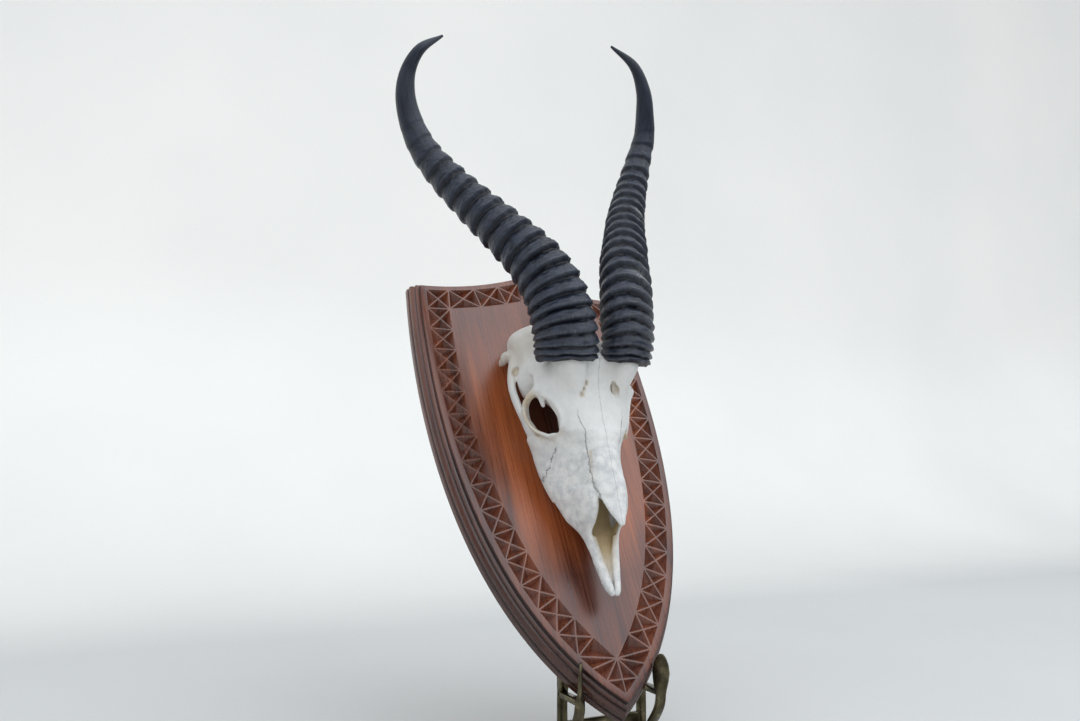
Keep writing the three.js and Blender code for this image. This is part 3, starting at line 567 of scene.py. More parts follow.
def nasal_outlines():
    for along, half_width, crown, drop in NASAL_STATIONS:
        shoulder = (half_width * NASAL_SHOULDER, crown + drop * (1 - NASAL_SHOULDER))
        upper = [(0, crown), shoulder, (half_width, crown + drop)]
        lower = [(x * NASAL_UNDERSIDE_WIDTH, depth + NASAL_THICKNESS) for x, depth in reversed(upper)]
        yield [along, *upper, *lower]


def prong_outlines():
    for along, upper_x, upper_depth, lower_x, lower_depth, thickness in PRONG_STATIONS:
        bulge = ((upper_x + lower_x) / 2 + PRONG_BULGE, (upper_depth + lower_depth) / 2)
        outer = [(upper_x, upper_depth), bulge, (lower_x, lower_depth)]
        inner = [(max(x - thickness, PRONG_INSET), depth + PRONG_INSET) for x, depth in reversed(outer)]
        yield [along, *outer, *inner]


def orbit_rim(turns):
    """Points of the eye socket's rim at the given turns round it."""
    turns = np.asarray(turns, float)[:, None]
    return ORBIT_CENTRE + np.cos(turns) * ORBIT_LONG_AXIS + np.sin(turns) * ORBIT_SHORT_AXIS


def carve_skull():
    half = Carving(HALF_GRID)
    half.loft(CRANIUM_STATIONS, BODY_JOIN)
    half.loft(FACE_STATIONS, BODY_JOIN)
    half.loft(list(roof_outlines()), ROOF_JOIN)
    half.loft(list(nasal_outlines()), PLATE_JOIN)
    half.loft(list(prong_outlines()), PLATE_JOIN, closed_outline)
    half.loft(PALATE_STATIONS, PLATE_JOIN)
    for path, sizes, soft in LIMBS:
        half.limb(path, sizes, soft)
    rim = orbit_rim(np.linspace(0, 2 * math.pi, 9))
    half.limb(rim, [ORBIT_RIM] * len(rim), PLATE_JOIN, direction=ORBIT_FACING)
    half.knob(*EAR_BULB, BULB_JOIN)
    half.knob(*CONDYLE, CONDYLE_JOIN)
    for index in range(TOOTH_COUNT):
        middle = TOOTH_ROW_START + (TOOTH_ROW_END - TOOTH_ROW_START) * (index + 0.5) / TOOTH_COUNT
        half.knob(middle, TOOTH_HALF, TOOTH_JOIN)
    half.loft(NOSE_STATIONS, NOSE_EDGE, cut=True)
    half.knob(*TEAR_HOLLOW, TEAR_HOLLOW_EDGE, cut=True)
    whole = Carving(WHOLE_GRID, np.concatenate([half.field[:0:-1], half.field], axis=0))
    whole.smooth()
    for size, height, seed in LUMPS:
        whole.roughen(size, height, seed)
    for centre, sizes in PITS:
        whole.knob(centre, sizes, PIT_EDGE, cut=True)
    for path, sizes in GROOVES:
        whole.limb(path, sizes, GROOVE_EDGE, cut=True)
    return whole.field


def horn_sections(curve, lengths):
    """Centres, broad and narrow directions and half sizes of a horn at lengths from its base."""
    total = run_lengths(curve)[-1]
    share = lengths / total
    centres = at_lengths(curve, lengths)
    ahead = at_lengths(curve, np.minimum(lengths + 0.5, total))
    behind = at_lengths(curve, np.maximum(lengths - 0.5, 0))
    tangents = unit(ahead - behind)
    towards = HORN_BROAD_DIRECTION * (np.sign(curve[0, 0]), 1, 1)
    broad = unit(towards - (tangents @ towards)[:, None] * tangents)
    narrow = np.cross(tangents, broad)
    keys, girths = np.array(HORN_TAPER).T
    girth = np.interp(share, keys, girths)
    mean = sum(HORN_BASE_HALF) / 2
    rounded = np.minimum(share / HORN_ROUNDING, 1)
    halves = [girth * (half + rounded * (mean - half)) for half in HORN_BASE_HALF]
    return centres, tangents, broad, narrow, halves, girth


def add_object(name, data):
    item = bpy.data.objects.new(name, data)
    bpy.context.scene.collection.objects.link(item)
    return item


def make_piece(name, points, faces, material, node, slot):
    """Mesh object that stands for a node of the solid model, with outward faces."""
    mesh = bpy.data.meshes.new(name)
    mesh.from_pydata(np.asarray(points).tolist(), [], [list(map(int, face)) for face in faces])
    shape = bmesh.new()
    shape.from_mesh(mesh)
    bmesh.ops.recalc_face_normals(shape, faces=shape.faces)
    shape.to_mesh(mesh)
    shape.free()
    mesh.shade_smooth()
    mesh.set_sharp_from_angle(angle=math.radians(SHARP_EDGE[slot]))
    mesh.materials.append(material)
    piece = add_object(name, mesh)
    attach(piece, "root")
    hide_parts(node)
    return piece


def set_values(piece, **columns):
    """Stores numbers or vectors for the points of a piece, or for its faces where there is one for each."""
    for name, values in columns.items():
        values = np.asarray(values, np.float32)
        kind, key = ("FLOAT", "value") if values.ndim == 1 else ("FLOAT_VECTOR", "vector")
        domain = "POINT" if len(values) == len(piece.data.vertices) else "FACE"
        piece.data.attributes.new(name, kind, domain).data.foreach_set(key, values.ravel())


def tube_faces(rows, sides):
    """Faces of a tube of rings, closed at both ends."""
    start = np.arange(rows - 1)[:, None] * sides
    here = start + np.arange(sides)
    following = start + (np.arange(sides) + 1) % sides
    walls = np.stack([here, following, following + sides, here + sides], axis=-1).reshape(-1, 4)
    return [*walls.tolist(), list(range(sides)), list(range((rows - 1) * sides, rows * sides))]


def skull_tints(points):
    """Shares of warm stain, with painted shade in and round the holes, and of painted shade on the inner
    walls of the nose opening, at points in the skull frame.
    """
    x, depth, along = np.abs(points[:, 0]), points[:, 1], points[:, 2]
    folded = np.stack([x, depth, along], axis=1)
    stained_rim = orbit_rim(np.linspace(-0.5, 2.9, 24))
    from_rim = np.min([np.linalg.norm(folded - spot, axis=1) for spot in stained_rim], axis=0)
    braincase = rise(along, 146, 170) * rise(depth, 6, 36)
    warm = np.maximum(np.exp(-((from_rim / RIM_STAIN_REACH) ** 2)), BRAINCASE_STAIN * braincase)
    # Painted shade: the holes and a ring round them take the warm tint too.
    for centre, sizes in PITS:
        reach = np.linalg.norm((points - centre) / np.array(sizes), axis=1)
        warm = np.maximum(warm, np.clip(1.5 - reach, 0, 0.9))
    stations = np.array(PRONG_STATIONS)
    edge_x = np.interp(along, stations[:, 0], stations[:, 1])
    edge_depth = np.interp(along, stations[:, 0], stations[:, 2])
    # Painted shade on the inward-facing walls of the nose opening.
    inward = rise(edge_x - x, 0.6, 1.8) * rise(depth - edge_depth, -1, 2)
    lining = inward * rise(along, 4, 30) * (along < 96) * (depth < 27)
    return warm, lining


def make_skull(material):
    grid = openvdb.FloatGrid(FAR)
    grid.copyFromArray(np.ascontiguousarray(carve_skull(), np.float32))
    grid.transform = openvdb.createLinearTransform(voxelSize=VOXEL)
    points, faces = grid.convertToQuads(0)
    points = points + [axis[0] for axis in WHOLE_GRID]
    skull = make_piece("skull_bone", skull_to_row(points), faces, material, "skull", "bone")
    warm, lining = skull_tints(points)
    set_values(skull, local=points / 10, warm=warm, lining=lining)


def ring_profile(lengths, turns, rings):
    """Height of the horn's rings, nearness to a ring's crest and place in the row of rings."""
    index = np.arange(rings + 2)
    pitches = np.minimum(RING_FIRST_PITCH + RING_PITCH_GROWTH * index, RING_LAST_PITCH)
    crests = RING_START + np.cumsum(pitches) - pitches
    steady = np.interp(lengths, (0, 40), (0.6, 1))[:, None]
    ripple = np.sin(3 * turns + lengths[:, None] / 60)
    wave = steady * (RING_TILT * np.sin(turns + 0.6) + RING_RIPPLE * ripple)
    place = np.interp(lengths[:, None] + wave, crests, index, left=BASE_PLACE)
    part = place - np.floor(place)
    falling = 1 - (part / RING_FALL) ** 1.5
    height = np.where(part < RING_FALL, falling, (part - RING_FALL) / (1 - RING_FALL))
    from_crest = np.minimum(part, 1 - part) * np.interp(place, index, pitches)
    crest = np.exp(-((from_crest / CREST_WIDTH) ** 2)) * np.interp(place, (4, 12), (1, 0.3))
    return height, crest, place


def make_horn(name, node, hook, side, rings, flakes, material):
    curve = spline(np.array([*HORN_STEM, *hook]) * (side, 1, 1), 40)
    lengths = np.linspace(0, run_lengths(curve)[-1], HORN_STEPS)
    centres, tangents, broad, narrow, (half_broad, half_narrow), girth = horn_sections(curve, lengths)
    run = lengths[:, None]
    turns = np.linspace(0, 2 * math.pi, HORN_SIDES, endpoint=False)
    cos, sin = np.cos(turns), np.sin(turns)
    height, crest, place = ring_profile(lengths, turns, rings)
    fade = rise(rings - place, 0.5, 4.5)
    front = narrow[:, 1:2] * sin + broad[:, 1:2] * cos
    strength = fade * np.interp(place, (BASE_PLACE, 2, 9), (0.5, 0.62, 1)) * (0.74 - 0.26 * front)
    fibre = np.stack(np.broadcast_arrays(2 * cos, 2 * sin, run / 100), axis=-1).reshape(-1, 3)
    ragged = lattice_noise(fibre * (3, 3, 60) + 50, 1.0, RAGGED_SEED).reshape(height.shape)
    outward = RING_HEIGHT * girth[:, None] * strength * (height - 0.5 + RING_RAGGED * ragged)
    flaked = np.zeros(height.shape)
    for length, turn in flakes:
        off_turn = FLAKE_TIGHTNESS * (np.cos(turns - turn) - 1)
        flaked += np.exp(off_turn - ((run - length) / FLAKE_LENGTH) ** 2)
    outward -= FLAKE_DEPTH * flaked + BASE_TUCK[0] * np.exp(-run / BASE_TUCK[1])
    ragged_base = 1 + np.sin(2 * turns + 1) * np.cos(5 * turns)
    shifts = (
        (tangents, BASE_WAVE[0] * np.exp(-run / BASE_WAVE[1]) * ragged_base),
        (broad, (half_broad[:, None] + outward) * cos),
        (narrow, (half_narrow[:, None] + outward) * sin),
    )
    points = centres[:, None] + sum(axis[:, None] * amount[..., None] for axis, amount in shifts)
    points = skull_to_row(points.reshape(-1, 3))
    horn = make_piece(name, points, tube_faces(HORN_STEPS, HORN_SIDES), material, node, "horn")
    # Painted shade in the grooves between the rings.
    groove = np.clip(1.1 - 1.8 * height, 0, 1) * fade
    crest *= fade
    set_values(horn, local=fibre, crest=crest.ravel(), groove=groove.ravel(), flaked=flaked.ravel())


def bezier(controls, count=400):
    """Curve from its control points."""
    share = np.linspace(0, 1, count)[:, None]
    degree = len(controls) - 1
    return sum(
        math.comb(degree, order) * share**order * (1 - share) ** (degree - order) * np.array(control, float)
        for order, control in enumerate(controls)
    )


SIDE_CURVE = bezier(SIDE_CONTROLS)
TOP_CURVE = bezier(TOP_CONTROLS)


def shield_loop(outward):
    """Front outline of the shield moved outward, mitred where it turns."""
    side = at_lengths(SIDE_CURVE, np.linspace(0, run_lengths(SIDE_CURVE)[-1], SIDE_STEPS + 1))
    top = at_lengths(TOP_CURVE, np.linspace(0, run_lengths(TOP_CURVE)[-1], TOP_STEPS + 1))
    right = np.vstack([side[:-1], top])
    loop = np.vstack([right, right[-2:0:-1] * (-1, 1)])
    heading = unit(np.roll(loop, -1, axis=0) - loop)
    leaving = np.stack([heading[:, 1], -heading[:, 0]], axis=1)
    arriving = np.roll(leaving, 1, axis=0)
    mitre = outward / (1 + (leaving * arriving).sum(axis=1))
    return loop + (leaving + arriving) * mitre[:, None]


def border_pair(curve, length):
    """Outer and inner points of the border at a length along a half outline."""
    here, ahead = at_lengths(curve, [length, length + 0.5])
    heading = unit(ahead - here)
    inward = np.array((-heading[1], heading[0]))
    return [here + inward * BAND_OUTER, here + inward * BAND_INNER]


def cell_rims(a, b, c, d):
    """Rims of a square cell's four pits, round a raised cross."""
    middle = (a + b + c + d) / 4
    return [(start, end, middle) for start, end in ((a, b), (b, c), (c, d), (d, a))]


def row_rims(pairs):
    """Rims of the cells in a row of pairs of points."""
    rims = []
    for (outer, inner), (next_outer, next_inner) in zip(pairs, pairs[1:]):
        rims += cell_rims(outer, next_outer, next_inner, inner)
    return rims


def half_border():
    """Rims of the pits of the right half: up the side, the corner, along the top, the fan at the tip."""
    outer_loop, inner_loop = shield_loop(-BAND_OUTER), shield_loop(-BAND_INNER)
    corner, peak = SIDE_STEPS, SIDE_STEPS + TOP_STEPS
    side_lengths = np.linspace(FAN_LENGTH, run_lengths(SIDE_CURVE)[-1] - BAND_INNER, SIDE_CELLS + 1)
    top_lengths = np.linspace(BAND_INNER, run_lengths(TOP_CURVE)[-1], TOP_CELLS + 1)[:-1]
    fan_lengths = np.linspace(FAN_END, FAN_LENGTH, FAN_CHIPS + 1)
    side = [border_pair(SIDE_CURVE, length) for length in side_lengths]
    top = [border_pair(TOP_CURVE, length) for length in top_lengths]
    stops = [border_pair(SIDE_CURVE, length)[0] for length in fan_lengths]
    side[-1][1] = inner_loop[corner]
    top[0][1] = inner_loop[corner]
    top.append([outer_loop[peak], inner_loop[peak]])
    corner_cell = cell_rims(side[-1][0], outer_loop[corner], top[0][0], inner_loop[corner])
    hub = inner_loop[0]
    foot = np.array((0, stops[0][1]))
    fan = [(near, far, hub) for near, far in zip(stops, stops[1:])]
    fan += [(hub, stops[-1], side[0][1]), (foot, stops[0], hub), (outer_loop[0], stops[0], foot)]
    return [*row_rims(side), *corner_cell, *row_rims(top), *fan]


def pit_loops(rim, jitter):
    """Rim and lip of a three-sided pit and its deepest point, as (x, back, z)."""
    a, b, c = rim
    sides = np.array([np.linalg.norm(b - c), np.linalg.norm(c - a), np.linalg.norm(a - b)])
    incentre = (sides[0] * a + sides[1] * b + sides[2] * c) / sides.sum()
    area = abs((b[0] - a[0]) * (c[1] - a[1]) - (b[1] - a[1]) * (c[0] - a[0])) / 2
    radius = 2 * area / sides.sum()
    bottom = incentre + jitter
    loops = []
    for inset, drop in CHIP_LIP:
        ring = [bottom + (corner - bottom) * (1 - inset / radius) for corner in rim]
        loops.append([(x, drop, z) for x, z in ring])
    return *loops, (bottom[0], min(CHIP_DEPTH, radius * CHIP_STEEPNESS), bottom[1])


def inside_any(spot, triangles):
    """True where a point lies in one of the triangles."""
    a, b, c = triangles[:, 0], triangles[:, 1], triangles[:, 2]
    signs = np.array([
        (q[:, 0] - p[:, 0]) * (spot[1] - p[:, 1]) - (q[:, 1] - p[:, 1]) * (spot[0] - p[:, 0])
        for p, q in ((a, b), (b, c), (c, a))
    ])
    return bool(np.any(np.all(signs > 0, axis=0) | np.all(signs < 0, axis=0)))


def carved_face(pit_rims):
    """Flat front with a hole for each pit: points, faces, ridge marks, and the outline's and pits' points."""
    outline = shield_loop(0)
    size = len(outline)
    spots = [*outline, *[(x, z) for rim in pit_rims for x, _, z in rim]]
    pits = np.arange(size, len(spots)).reshape(-1, 3)
    edges = [(index, (index + 1) % size) for index in range(size)]
    for a, b, c in pits.tolist():
        edges += [(a, b), (b, c), (c, a)]
    flat = geometry.delaunay_2d_cdt([Vector(spot) for spot in spots], edges, [], 1, 1e-5)
    corners = np.array([tuple(corner) for corner in flat[0]])
    came_from = {old: new for new, olds in enumerate(flat[3]) for old in olds}
    places = np.array([came_from[index] for index in range(len(spots))])
    holes = corners[places[pits]]
    middles = np.array([corners[list(face)].mean(axis=0) for face in flat[2]])
    inward = -outline_distance(np.vstack([outline, outline[:1]]), *middles.T)
    faces, ridges = [], []
    for face, middle, from_edge in zip(flat[2], middles, inward):
        if not inside_any(middle, holes):
            faces.append(list(face))
            ridges.append(float(BAND_OUTER < from_edge < BAND_INNER))
    return [(x, 0.0, z) for x, z in corners], faces, ridges, places[:size], places[pits]


def make_shield(material):
    rims = half_border()
    rims += [tuple(corner * (-1, 1) for corner in rim) for rim in rims]
    rng = np.random.default_rng(CHIP_SEED)
    pits = [pit_loops(rim, rng.normal(0, CHIP_JITTER, 2)) for rim in rims]
    points, faces, ridges, previous, rim_places = carved_face([rim for rim, _, _ in pits])
    for rim, (_, lip, bottom) in zip(rim_places, pits):
        inner = [len(points) + k for k in range(3)]
        deepest = len(points) + 3
        points += [*lip, bottom]
        for k in range(3):
            following = (k + 1) % 3
            faces.append([rim[k], rim[following], inner[following], inner[k]])
            faces.append([inner[k], inner[following], deepest])
            ridges += [1.0, 0.0]
    face_points = len(points)
    size = len(previous)
    for outward, back in MOULDING[1:]:
        current = list(range(len(points), len(points) + size))
        points += [(x, back, z) for x, z in shield_loop(outward)]
        for k in range(size):
            following = (k + 1) % size
            faces.append([previous[k], previous[following], current[following], current[k]])
        previous = current
    faces.append(previous)
    ridges += [0.0] * (len(faces) - len(ridges))
    points = np.array(points)
    back = points[:, 1]
    shield = make_piece("shield_wood", shield_to_row(points), faces, material, "shield", "wood")
    on_face = np.arange(len(points)) < face_points
    # Painted shade on the moulding, more of it in the grooves.
    painted_shade = MOULDING_PAINTED_SHADE + GROOVE_PAINTED_SHADE * np.isin(back, MOULDING_GROOVES)
    cut = np.where(on_face, back / CHIP_DEPTH, 0)
    set_values(shield, local=points / 100, cut=cut, dark=np.where(on_face, 0, painted_shade), ridge=ridges)


def strip(path, shapes, x):
    """Points and faces of a strip along a side-plane path; shapes are (half width, thickness, twist)."""
    heading = unit(np.gradient(path, axis=0))
    across = np.stack([-heading[:, 1], heading[:, 0]], axis=1)
    points = []
    for (y, z), side, (half_width, thickness, twist) in zip(path, across, shapes):
        cos, sin = math.cos(twist), math.sin(twist)
        wide = np.array((cos, side[0] * sin, side[1] * sin))
        thin = np.array((-sin, side[0] * cos, side[1] * cos))
        for u, v in STRIP_SECTION:
            points.append(np.array((x, y, z)) + wide * u * half_width + thin * v * thickness / 2)
    return points, tube_faces(len(path), len(STRIP_SECTION))


def plain_strip(path, width, x):
    return strip(path, [(width / 2, STRIP_THICKNESS, 0)] * len(path), x)


def rounded_path(points, radius, steps=6):
    """Path with its inner corners rounded."""
    points = np.asarray(points, float)
    path = [points[0]]
    for before, corner, after in zip(points, points[1:], points[2:]):
        start = corner + unit(before - corner) * radius
        end = corner + unit(after - corner) * radius
        for share in np.linspace(0, 1, steps):
            path.append((1 - share) ** 2 * start + 2 * share * (1 - share) * corner + share**2 * end)
    path.append(points[-1])
    return np.array(path)


def make_brass(name, node, points, faces, material):
    make_piece(name, floor_to_row(points), faces, material, node, "brass")


def make_upright(name, node, side, material):
    back = leaned([(UPRIGHT_BACK, UPRIGHT_TOP), (UPRIGHT_BACK, UPRIGHT_BEND)])
    leg = rounded_path([*back, *LEG_PATH], BEND)
    rest = np.array(REST_PATH, float)
    tongue = spline(TONGUE_PATH, 12)
    heights, *columns = np.array(TONGUE_SHAPE, float).T
    widths, thicknesses, twists = [np.interp(tongue[:, 1], heights, column) for column in columns]
    shapes = list(zip(widths, thicknesses, side * TONGUE_TWIST * twists))
    x = side * UPRIGHT_X
    strips = plain_strip(leg, STRIP_WIDTH, x), plain_strip(rest, STRIP_WIDTH, x), strip(tongue, shapes, x)
    points, faces = [], []
    for more_points, more_faces in strips:
        faces += [[index + len(points) for index in face] for face in more_faces]
        points += more_points
    make_brass(name, node, points, faces, material)


def make_bar(name, node, centre, up, material):
    """Cross bar between the uprights; up is its upward direction in the side plane."""
    half_span = UPRIGHT_X - STRIP_WIDTH / 2 - GAP
    centre, up = np.array(centre, float), np.array(up, float)
    back = np.array((up[1], -up[0]))
    points = []
    for x in (-half_span, half_span):
        for u, v in STRIP_SECTION:
            y, z = centre + up * u * BAR_HEIGHT / 2 + back * v * STRIP_THICKNESS / 2
            points.append((x, y, z))
    make_brass(name, node, points, tube_faces(2, len(STRIP_SECTION)), material)


def make_rear_leg(material):
    back = UPRIGHT_BACK + STRIP_THICKNESS + GAP
    top, knee = leaned([(back, BAR_UP_SHIELD + BAR_HEIGHT / 2), (back, BAR_UP_SHIELD - BAR_HEIGHT)])
    heel = np.array((REAR_LEG_BACK, FOOT_LEVEL))
    toe = np.array((REAR_LEG_BACK + REAR_FOOT_LENGTH, FOOT_LEVEL))
    points, faces = plain_strip(rounded_path([top, knee, heel, toe], BEND), REAR_LEG_WIDTH, 0)
    make_brass("easel_rear_leg_brass", "easel_rear_leg", points, faces, material)


class Nodes:
    """Builds the nodes of a material or of the sky and sets their shader."""

    def __init__(self, owner, shader):
        owner.use_nodes = True
        self.owner = owner
        self.tree = owner.node_tree
        self.shader = self.tree.nodes[shader]

    def add(self, kind, inputs=None, **settings):
        node = self.tree.nodes.new("ShaderNode" + kind)
        for key, value in settings.items():
            setattr(node, key, value)
        for key, value in (inputs or {}).items():
            self.put(node.inputs[key], value)
        return node

    def put(self, socket, value):
        if isinstance(value, bpy.types.NodeSocket):
            self.tree.links.new(value, socket)
        else:
            socket.default_value = value

    def shade(self, **values):
        for key, value in values.items():
            self.put(self.shader.inputs[key.replace("_", " ")], value)

    def attribute(self, name, output="Fac"):
        return self.add("Attribute", attribute_name=name).outputs[output]

    def coordinates(self, output):
        return self.add("TexCoord").outputs[output]

    def noise(self, vector, scale, detail, roughness, distortion=0.0):
        inputs = {"Vector": vector, "Scale": scale, "Detail": detail, "Roughness": roughness,
                  "Distortion": distortion}
        return self.add("TexNoise", inputs).outputs["Fac"]

    def stretch(self, vector, scale):
        return self.add("Mapping", {"Vector": vector, "Scale": scale}).outputs["Vector"]

    def ramp(self, value, stops):
        node = self.add("ValToRGB", {"Fac": value})
        while len(node.color_ramp.elements) < len(stops):
            node.color_ramp.elements.new(0.5)
        for element, (position, colour) in zip(node.color_ramp.elements, stops):
            element.position = position
            element.color = (*colour, 1)
        return node.outputs["Color"]

    def remap(self, value, low, high, to_low=0.0, to_high=1.0):
        inputs = {"Value": value, "From Min": low, "From Max": high, "To Min": to_low, "To Max": to_high}
        return self.add("MapRange", inputs).outputs["Result"]

    def levels(self, value, low, high, stops):
        """Number that runs through stops while the value goes from low to high."""
        return self.ramp(self.remap(value, low, high), [(at, (level,) * 3) for at, level in stops])

    def math(self, operation, a, b):
        return self.add("Math", {0: a, 1: b}, operation=operation).outputs["Value"]

    def times(self, a, b):
        return self.math("MULTIPLY", a, b)

    def plus(self, a, b):
        return self.math("ADD", a, b)

    def minus(self, a, b):
        return self.math("SUBTRACT", a, b)

    def size(self, value):
        return self.math("ABSOLUTE", value, 0.0)

    def mix(self, share, a, b):
        node = self.add("Mix", data_type="RGBA")
        self.put(node.inputs["Factor"], share)
        for key, value in (("A", a), ("B", b)):
            socket = [s for s in node.inputs if s.name == key and s.type == "RGBA"][0]
            self.put(socket, value if isinstance(value, bpy.types.NodeSocket) else (*value, 1))
        return [s for s in node.outputs if s.type == "RGBA"][0]

    def split(self, vector):
        return self.add("SeparateXYZ", {"Vector": vector}).outputs

    def line(self, offset, half_width):
        """One on a line and zero past its half width, from the distance off it."""
        return self.remap(self.size(offset), half_width, half_width * 0.4)

    def bump(self, height, strength, distance):
        inputs = {"Height": height, "Strength": strength, "Distance": distance}
        return self.add("Bump", inputs).outputs["Normal"]


def material_nodes(name):
    return Nodes(bpy.data.materials.new(name), "Principled BSDF")


def bone_material():
    nodes = material_nodes("dry_bone")
    local = nodes.attribute("local", "Vector")
    x, depth, along = nodes.split(local)
    mottle = nodes.noise(local, 1.5, 8, 0.68)
    blotches = nodes.noise(local, 0.45, 3, 0.5)
    fine = nodes.noise(local, 11.0, 5, 0.65)
    snout = nodes.remap(along, 11.5, 9.0, 0.25, 1.0)
    colour = nodes.mix(nodes.times(nodes.remap(mottle, 0.6, 0.38), snout), BONE_PALE, BONE_GREY)
    # Warm stain round the eye sockets and on the braincase, and painted shade in the holes.
    stain_and_shade = nodes.times(nodes.attribute("warm"), nodes.remap(blotches, 0.34, 0.58, 0.15, 1.0))
    colour = nodes.mix(stain_and_shade, colour, BONE_STAIN_AND_SHADE)
    # Sutures: beside the nasal bones, along the middle of the roof, and down each cheek.
    wobble = nodes.remap(nodes.noise(local, 3.4, 4, 0.6), 0.3, 0.7, -0.04, 0.04)
    across = nodes.plus(nodes.size(x), wobble)
    nasal_x = nodes.levels(along, 5.0, 12.0, [(0, 0.6), (0.3, 1.2), (0.6, 1.23), (0.85, 1.4), (1, 1.75)])
    on_face = nodes.times(nodes.remap(along, 12.6, 11.8), nodes.remap(along, 4.4, 4.8))
    nasal = nodes.times(nodes.line(nodes.minus(across, nasal_x), 0.045), on_face)
    middle = nodes.times(nodes.line(nodes.plus(x, wobble), 0.035), nodes.remap(depth, 1.2, 0.6))
    cheek_x = nodes.levels(along, 7.6, 10.4, [(0, 3.1), (1, 2.5)])
    on_cheek = nodes.times(nodes.remap(along, 7.4, 7.8), nodes.remap(along, 10.4, 10.0))
    cheek = nodes.times(nodes.line(nodes.minus(nodes.plus(across, wobble), cheek_x), 0.045), on_cheek)
    seams = nodes.math("MAXIMUM", nasal, nodes.math("MAXIMUM", nodes.times(middle, 0.55), cheek))
    seams = nodes.times(seams, nodes.remap(fine, 0.35, 0.55, 0.35, 0.85))
    colour = nodes.mix(seams, colour, BONE_SEAM)
    # Painted shade on the inner walls of the nose opening.
    colour = nodes.mix(nodes.times(nodes.attribute("lining"), 0.92), colour, NOSE_PAINTED_SHADE)
    height = nodes.minus(nodes.plus(nodes.remap(fine, 0.3, 0.7, 0, 0.5), mottle), nodes.times(seams, 0.8))
    nodes.shade(Base_Color=colour, Roughness=0.6, Normal=nodes.bump(height, 0.4, 0.0007))
    return nodes.owner


def horn_material():
    nodes = material_nodes("ringed_horn")
    local = nodes.attribute("local", "Vector")
    fibres = nodes.noise(nodes.stretch(local, (7, 7, 1)), 3.0, 5, 0.65)
    patches = nodes.noise(nodes.stretch(local, (1, 1, 4)), 1.6, 4, 0.6)
    flakes = nodes.noise(nodes.stretch(local, (5, 5, 25)), 2.0, 4, 0.6)
    colour = nodes.ramp(patches, HORN_TONES)
    # Painted shade in the grooves between the rings.
    colour = nodes.mix(nodes.times(nodes.attribute("groove"), 0.85), colour, HORN_GROOVE_SHADE)
    # Painted highlight along the rings' crests.
    crest_highlight = nodes.times(nodes.attribute("crest"), nodes.remap(fibres, 0.35, 0.65, 0.1, 0.8))
    colour = nodes.mix(crest_highlight, colour, HORN_CREST_HIGHLIGHT)
    flaked = nodes.times(nodes.attribute("flaked"), nodes.remap(flakes, 0.42, 0.52))
    colour = nodes.mix(flaked, colour, HORN_FLAKED)
    rough = nodes.remap(fibres, 0.3, 0.7, 0.28, 0.44)
    relief = nodes.bump(fibres, 0.5, 0.0006)
    nodes.shade(Base_Color=colour, Roughness=rough, Specular_IOR_Level=0.38, Normal=relief)
    return nodes.owner


def wood_material():
    nodes = material_nodes("rosewood")
    local = nodes.attribute("local", "Vector")
    x, back, up = nodes.split(local)
    broad = nodes.noise(nodes.stretch(local, (6, 4, 0.6)), 1.0, 3, 0.5, 0.6)
    grain = nodes.noise(nodes.stretch(local, (60, 40, 1.6)), 1.0, 5, 0.6)
    pores = nodes.noise(nodes.stretch(local, (170, 120, 7)), 1.0, 3, 0.5)
    tone = nodes.plus(nodes.times(broad, 0.5), nodes.times(grain, 0.5))
    colour = nodes.ramp(tone, WOOD_TONES)
    # Painted warm bounce light from the skull: the wood is lighter and redder in a wedge round it.
    wedge = nodes.plus(nodes.times(up, 0.11), 0.23)
    reach = nodes.math("DIVIDE", nodes.size(x), wedge)
    uneven = nodes.plus(reach, nodes.remap(broad, 0.3, 0.7, 0.2, -0.2))
    upper = nodes.times(nodes.remap(up, 0.85, 1.3), nodes.remap(up, 3.0, 2.3, 0.25, 1.0))
    bounce_lit = nodes.mix(nodes.remap(tone, 0.38, 0.6), WOOD_BOUNCE_LIT_DARK, WOOD_BOUNCE_LIT_LIGHT)
    colour = nodes.mix(nodes.times(nodes.remap(uneven, 1.55, 1.05, 0, 0.9), upper), colour, bounce_lit)
    # Painted shadow: the wood is dark straight behind the skull, on the front alone.
    behind = nodes.times(nodes.remap(reach, 0.62, 0.45, 0, 0.85), nodes.remap(back, 0.1, 0.05))
    behind = nodes.times(behind, nodes.times(nodes.remap(up, 1.4, 1.9), nodes.remap(up, 2.85, 2.6)))
    colour = nodes.mix(behind, colour, WOOD_SHADOW_BEHIND_SKULL)
    colour = nodes.mix(nodes.remap(pores, 0.36, 0.3, 0, 0.28), colour, WOOD_PORE)
    colour = nodes.mix(nodes.times(nodes.attribute("cut"), 0.5), colour, WOOD_CUT)
    # Painted shade: the moulding darkens towards the tip.
    painted_shade = nodes.times(nodes.attribute("dark"), nodes.remap(up, 1.9, 0.8, 1.0, 4.5))
    colour = nodes.mix(painted_shade, colour, WOOD_PAINTED_SHADE)
    # Painted highlight on the raised ridges of the carving.
    colour = nodes.mix(nodes.times(nodes.attribute("ridge"), 0.1), colour, WOOD_RIDGE_HIGHLIGHT)
    rough = nodes.remap(grain, 0.3, 0.7, 0.24, 0.36)
    relief = nodes.bump(grain, 0.12, 0.0004)
    nodes.shade(Base_Color=colour, Roughness=rough, Specular_IOR_Level=0.65, Normal=relief)
    return nodes.owner


def brass_material():
    nodes = material_nodes("aged_brass")
    patches = nodes.noise(nodes.coordinates("Object"), 120.0, 5, 0.6)
    colour = nodes.ramp(patches, BRASS_TONES)
    rough = nodes.remap(patches, 0.3, 0.7, 0.4, 0.24)
    nodes.shade(Base_Color=colour, Metallic=1.0, Roughness=rough, Normal=nodes.bump(patches, 0.15, 0.0005))
    return nodes.owner


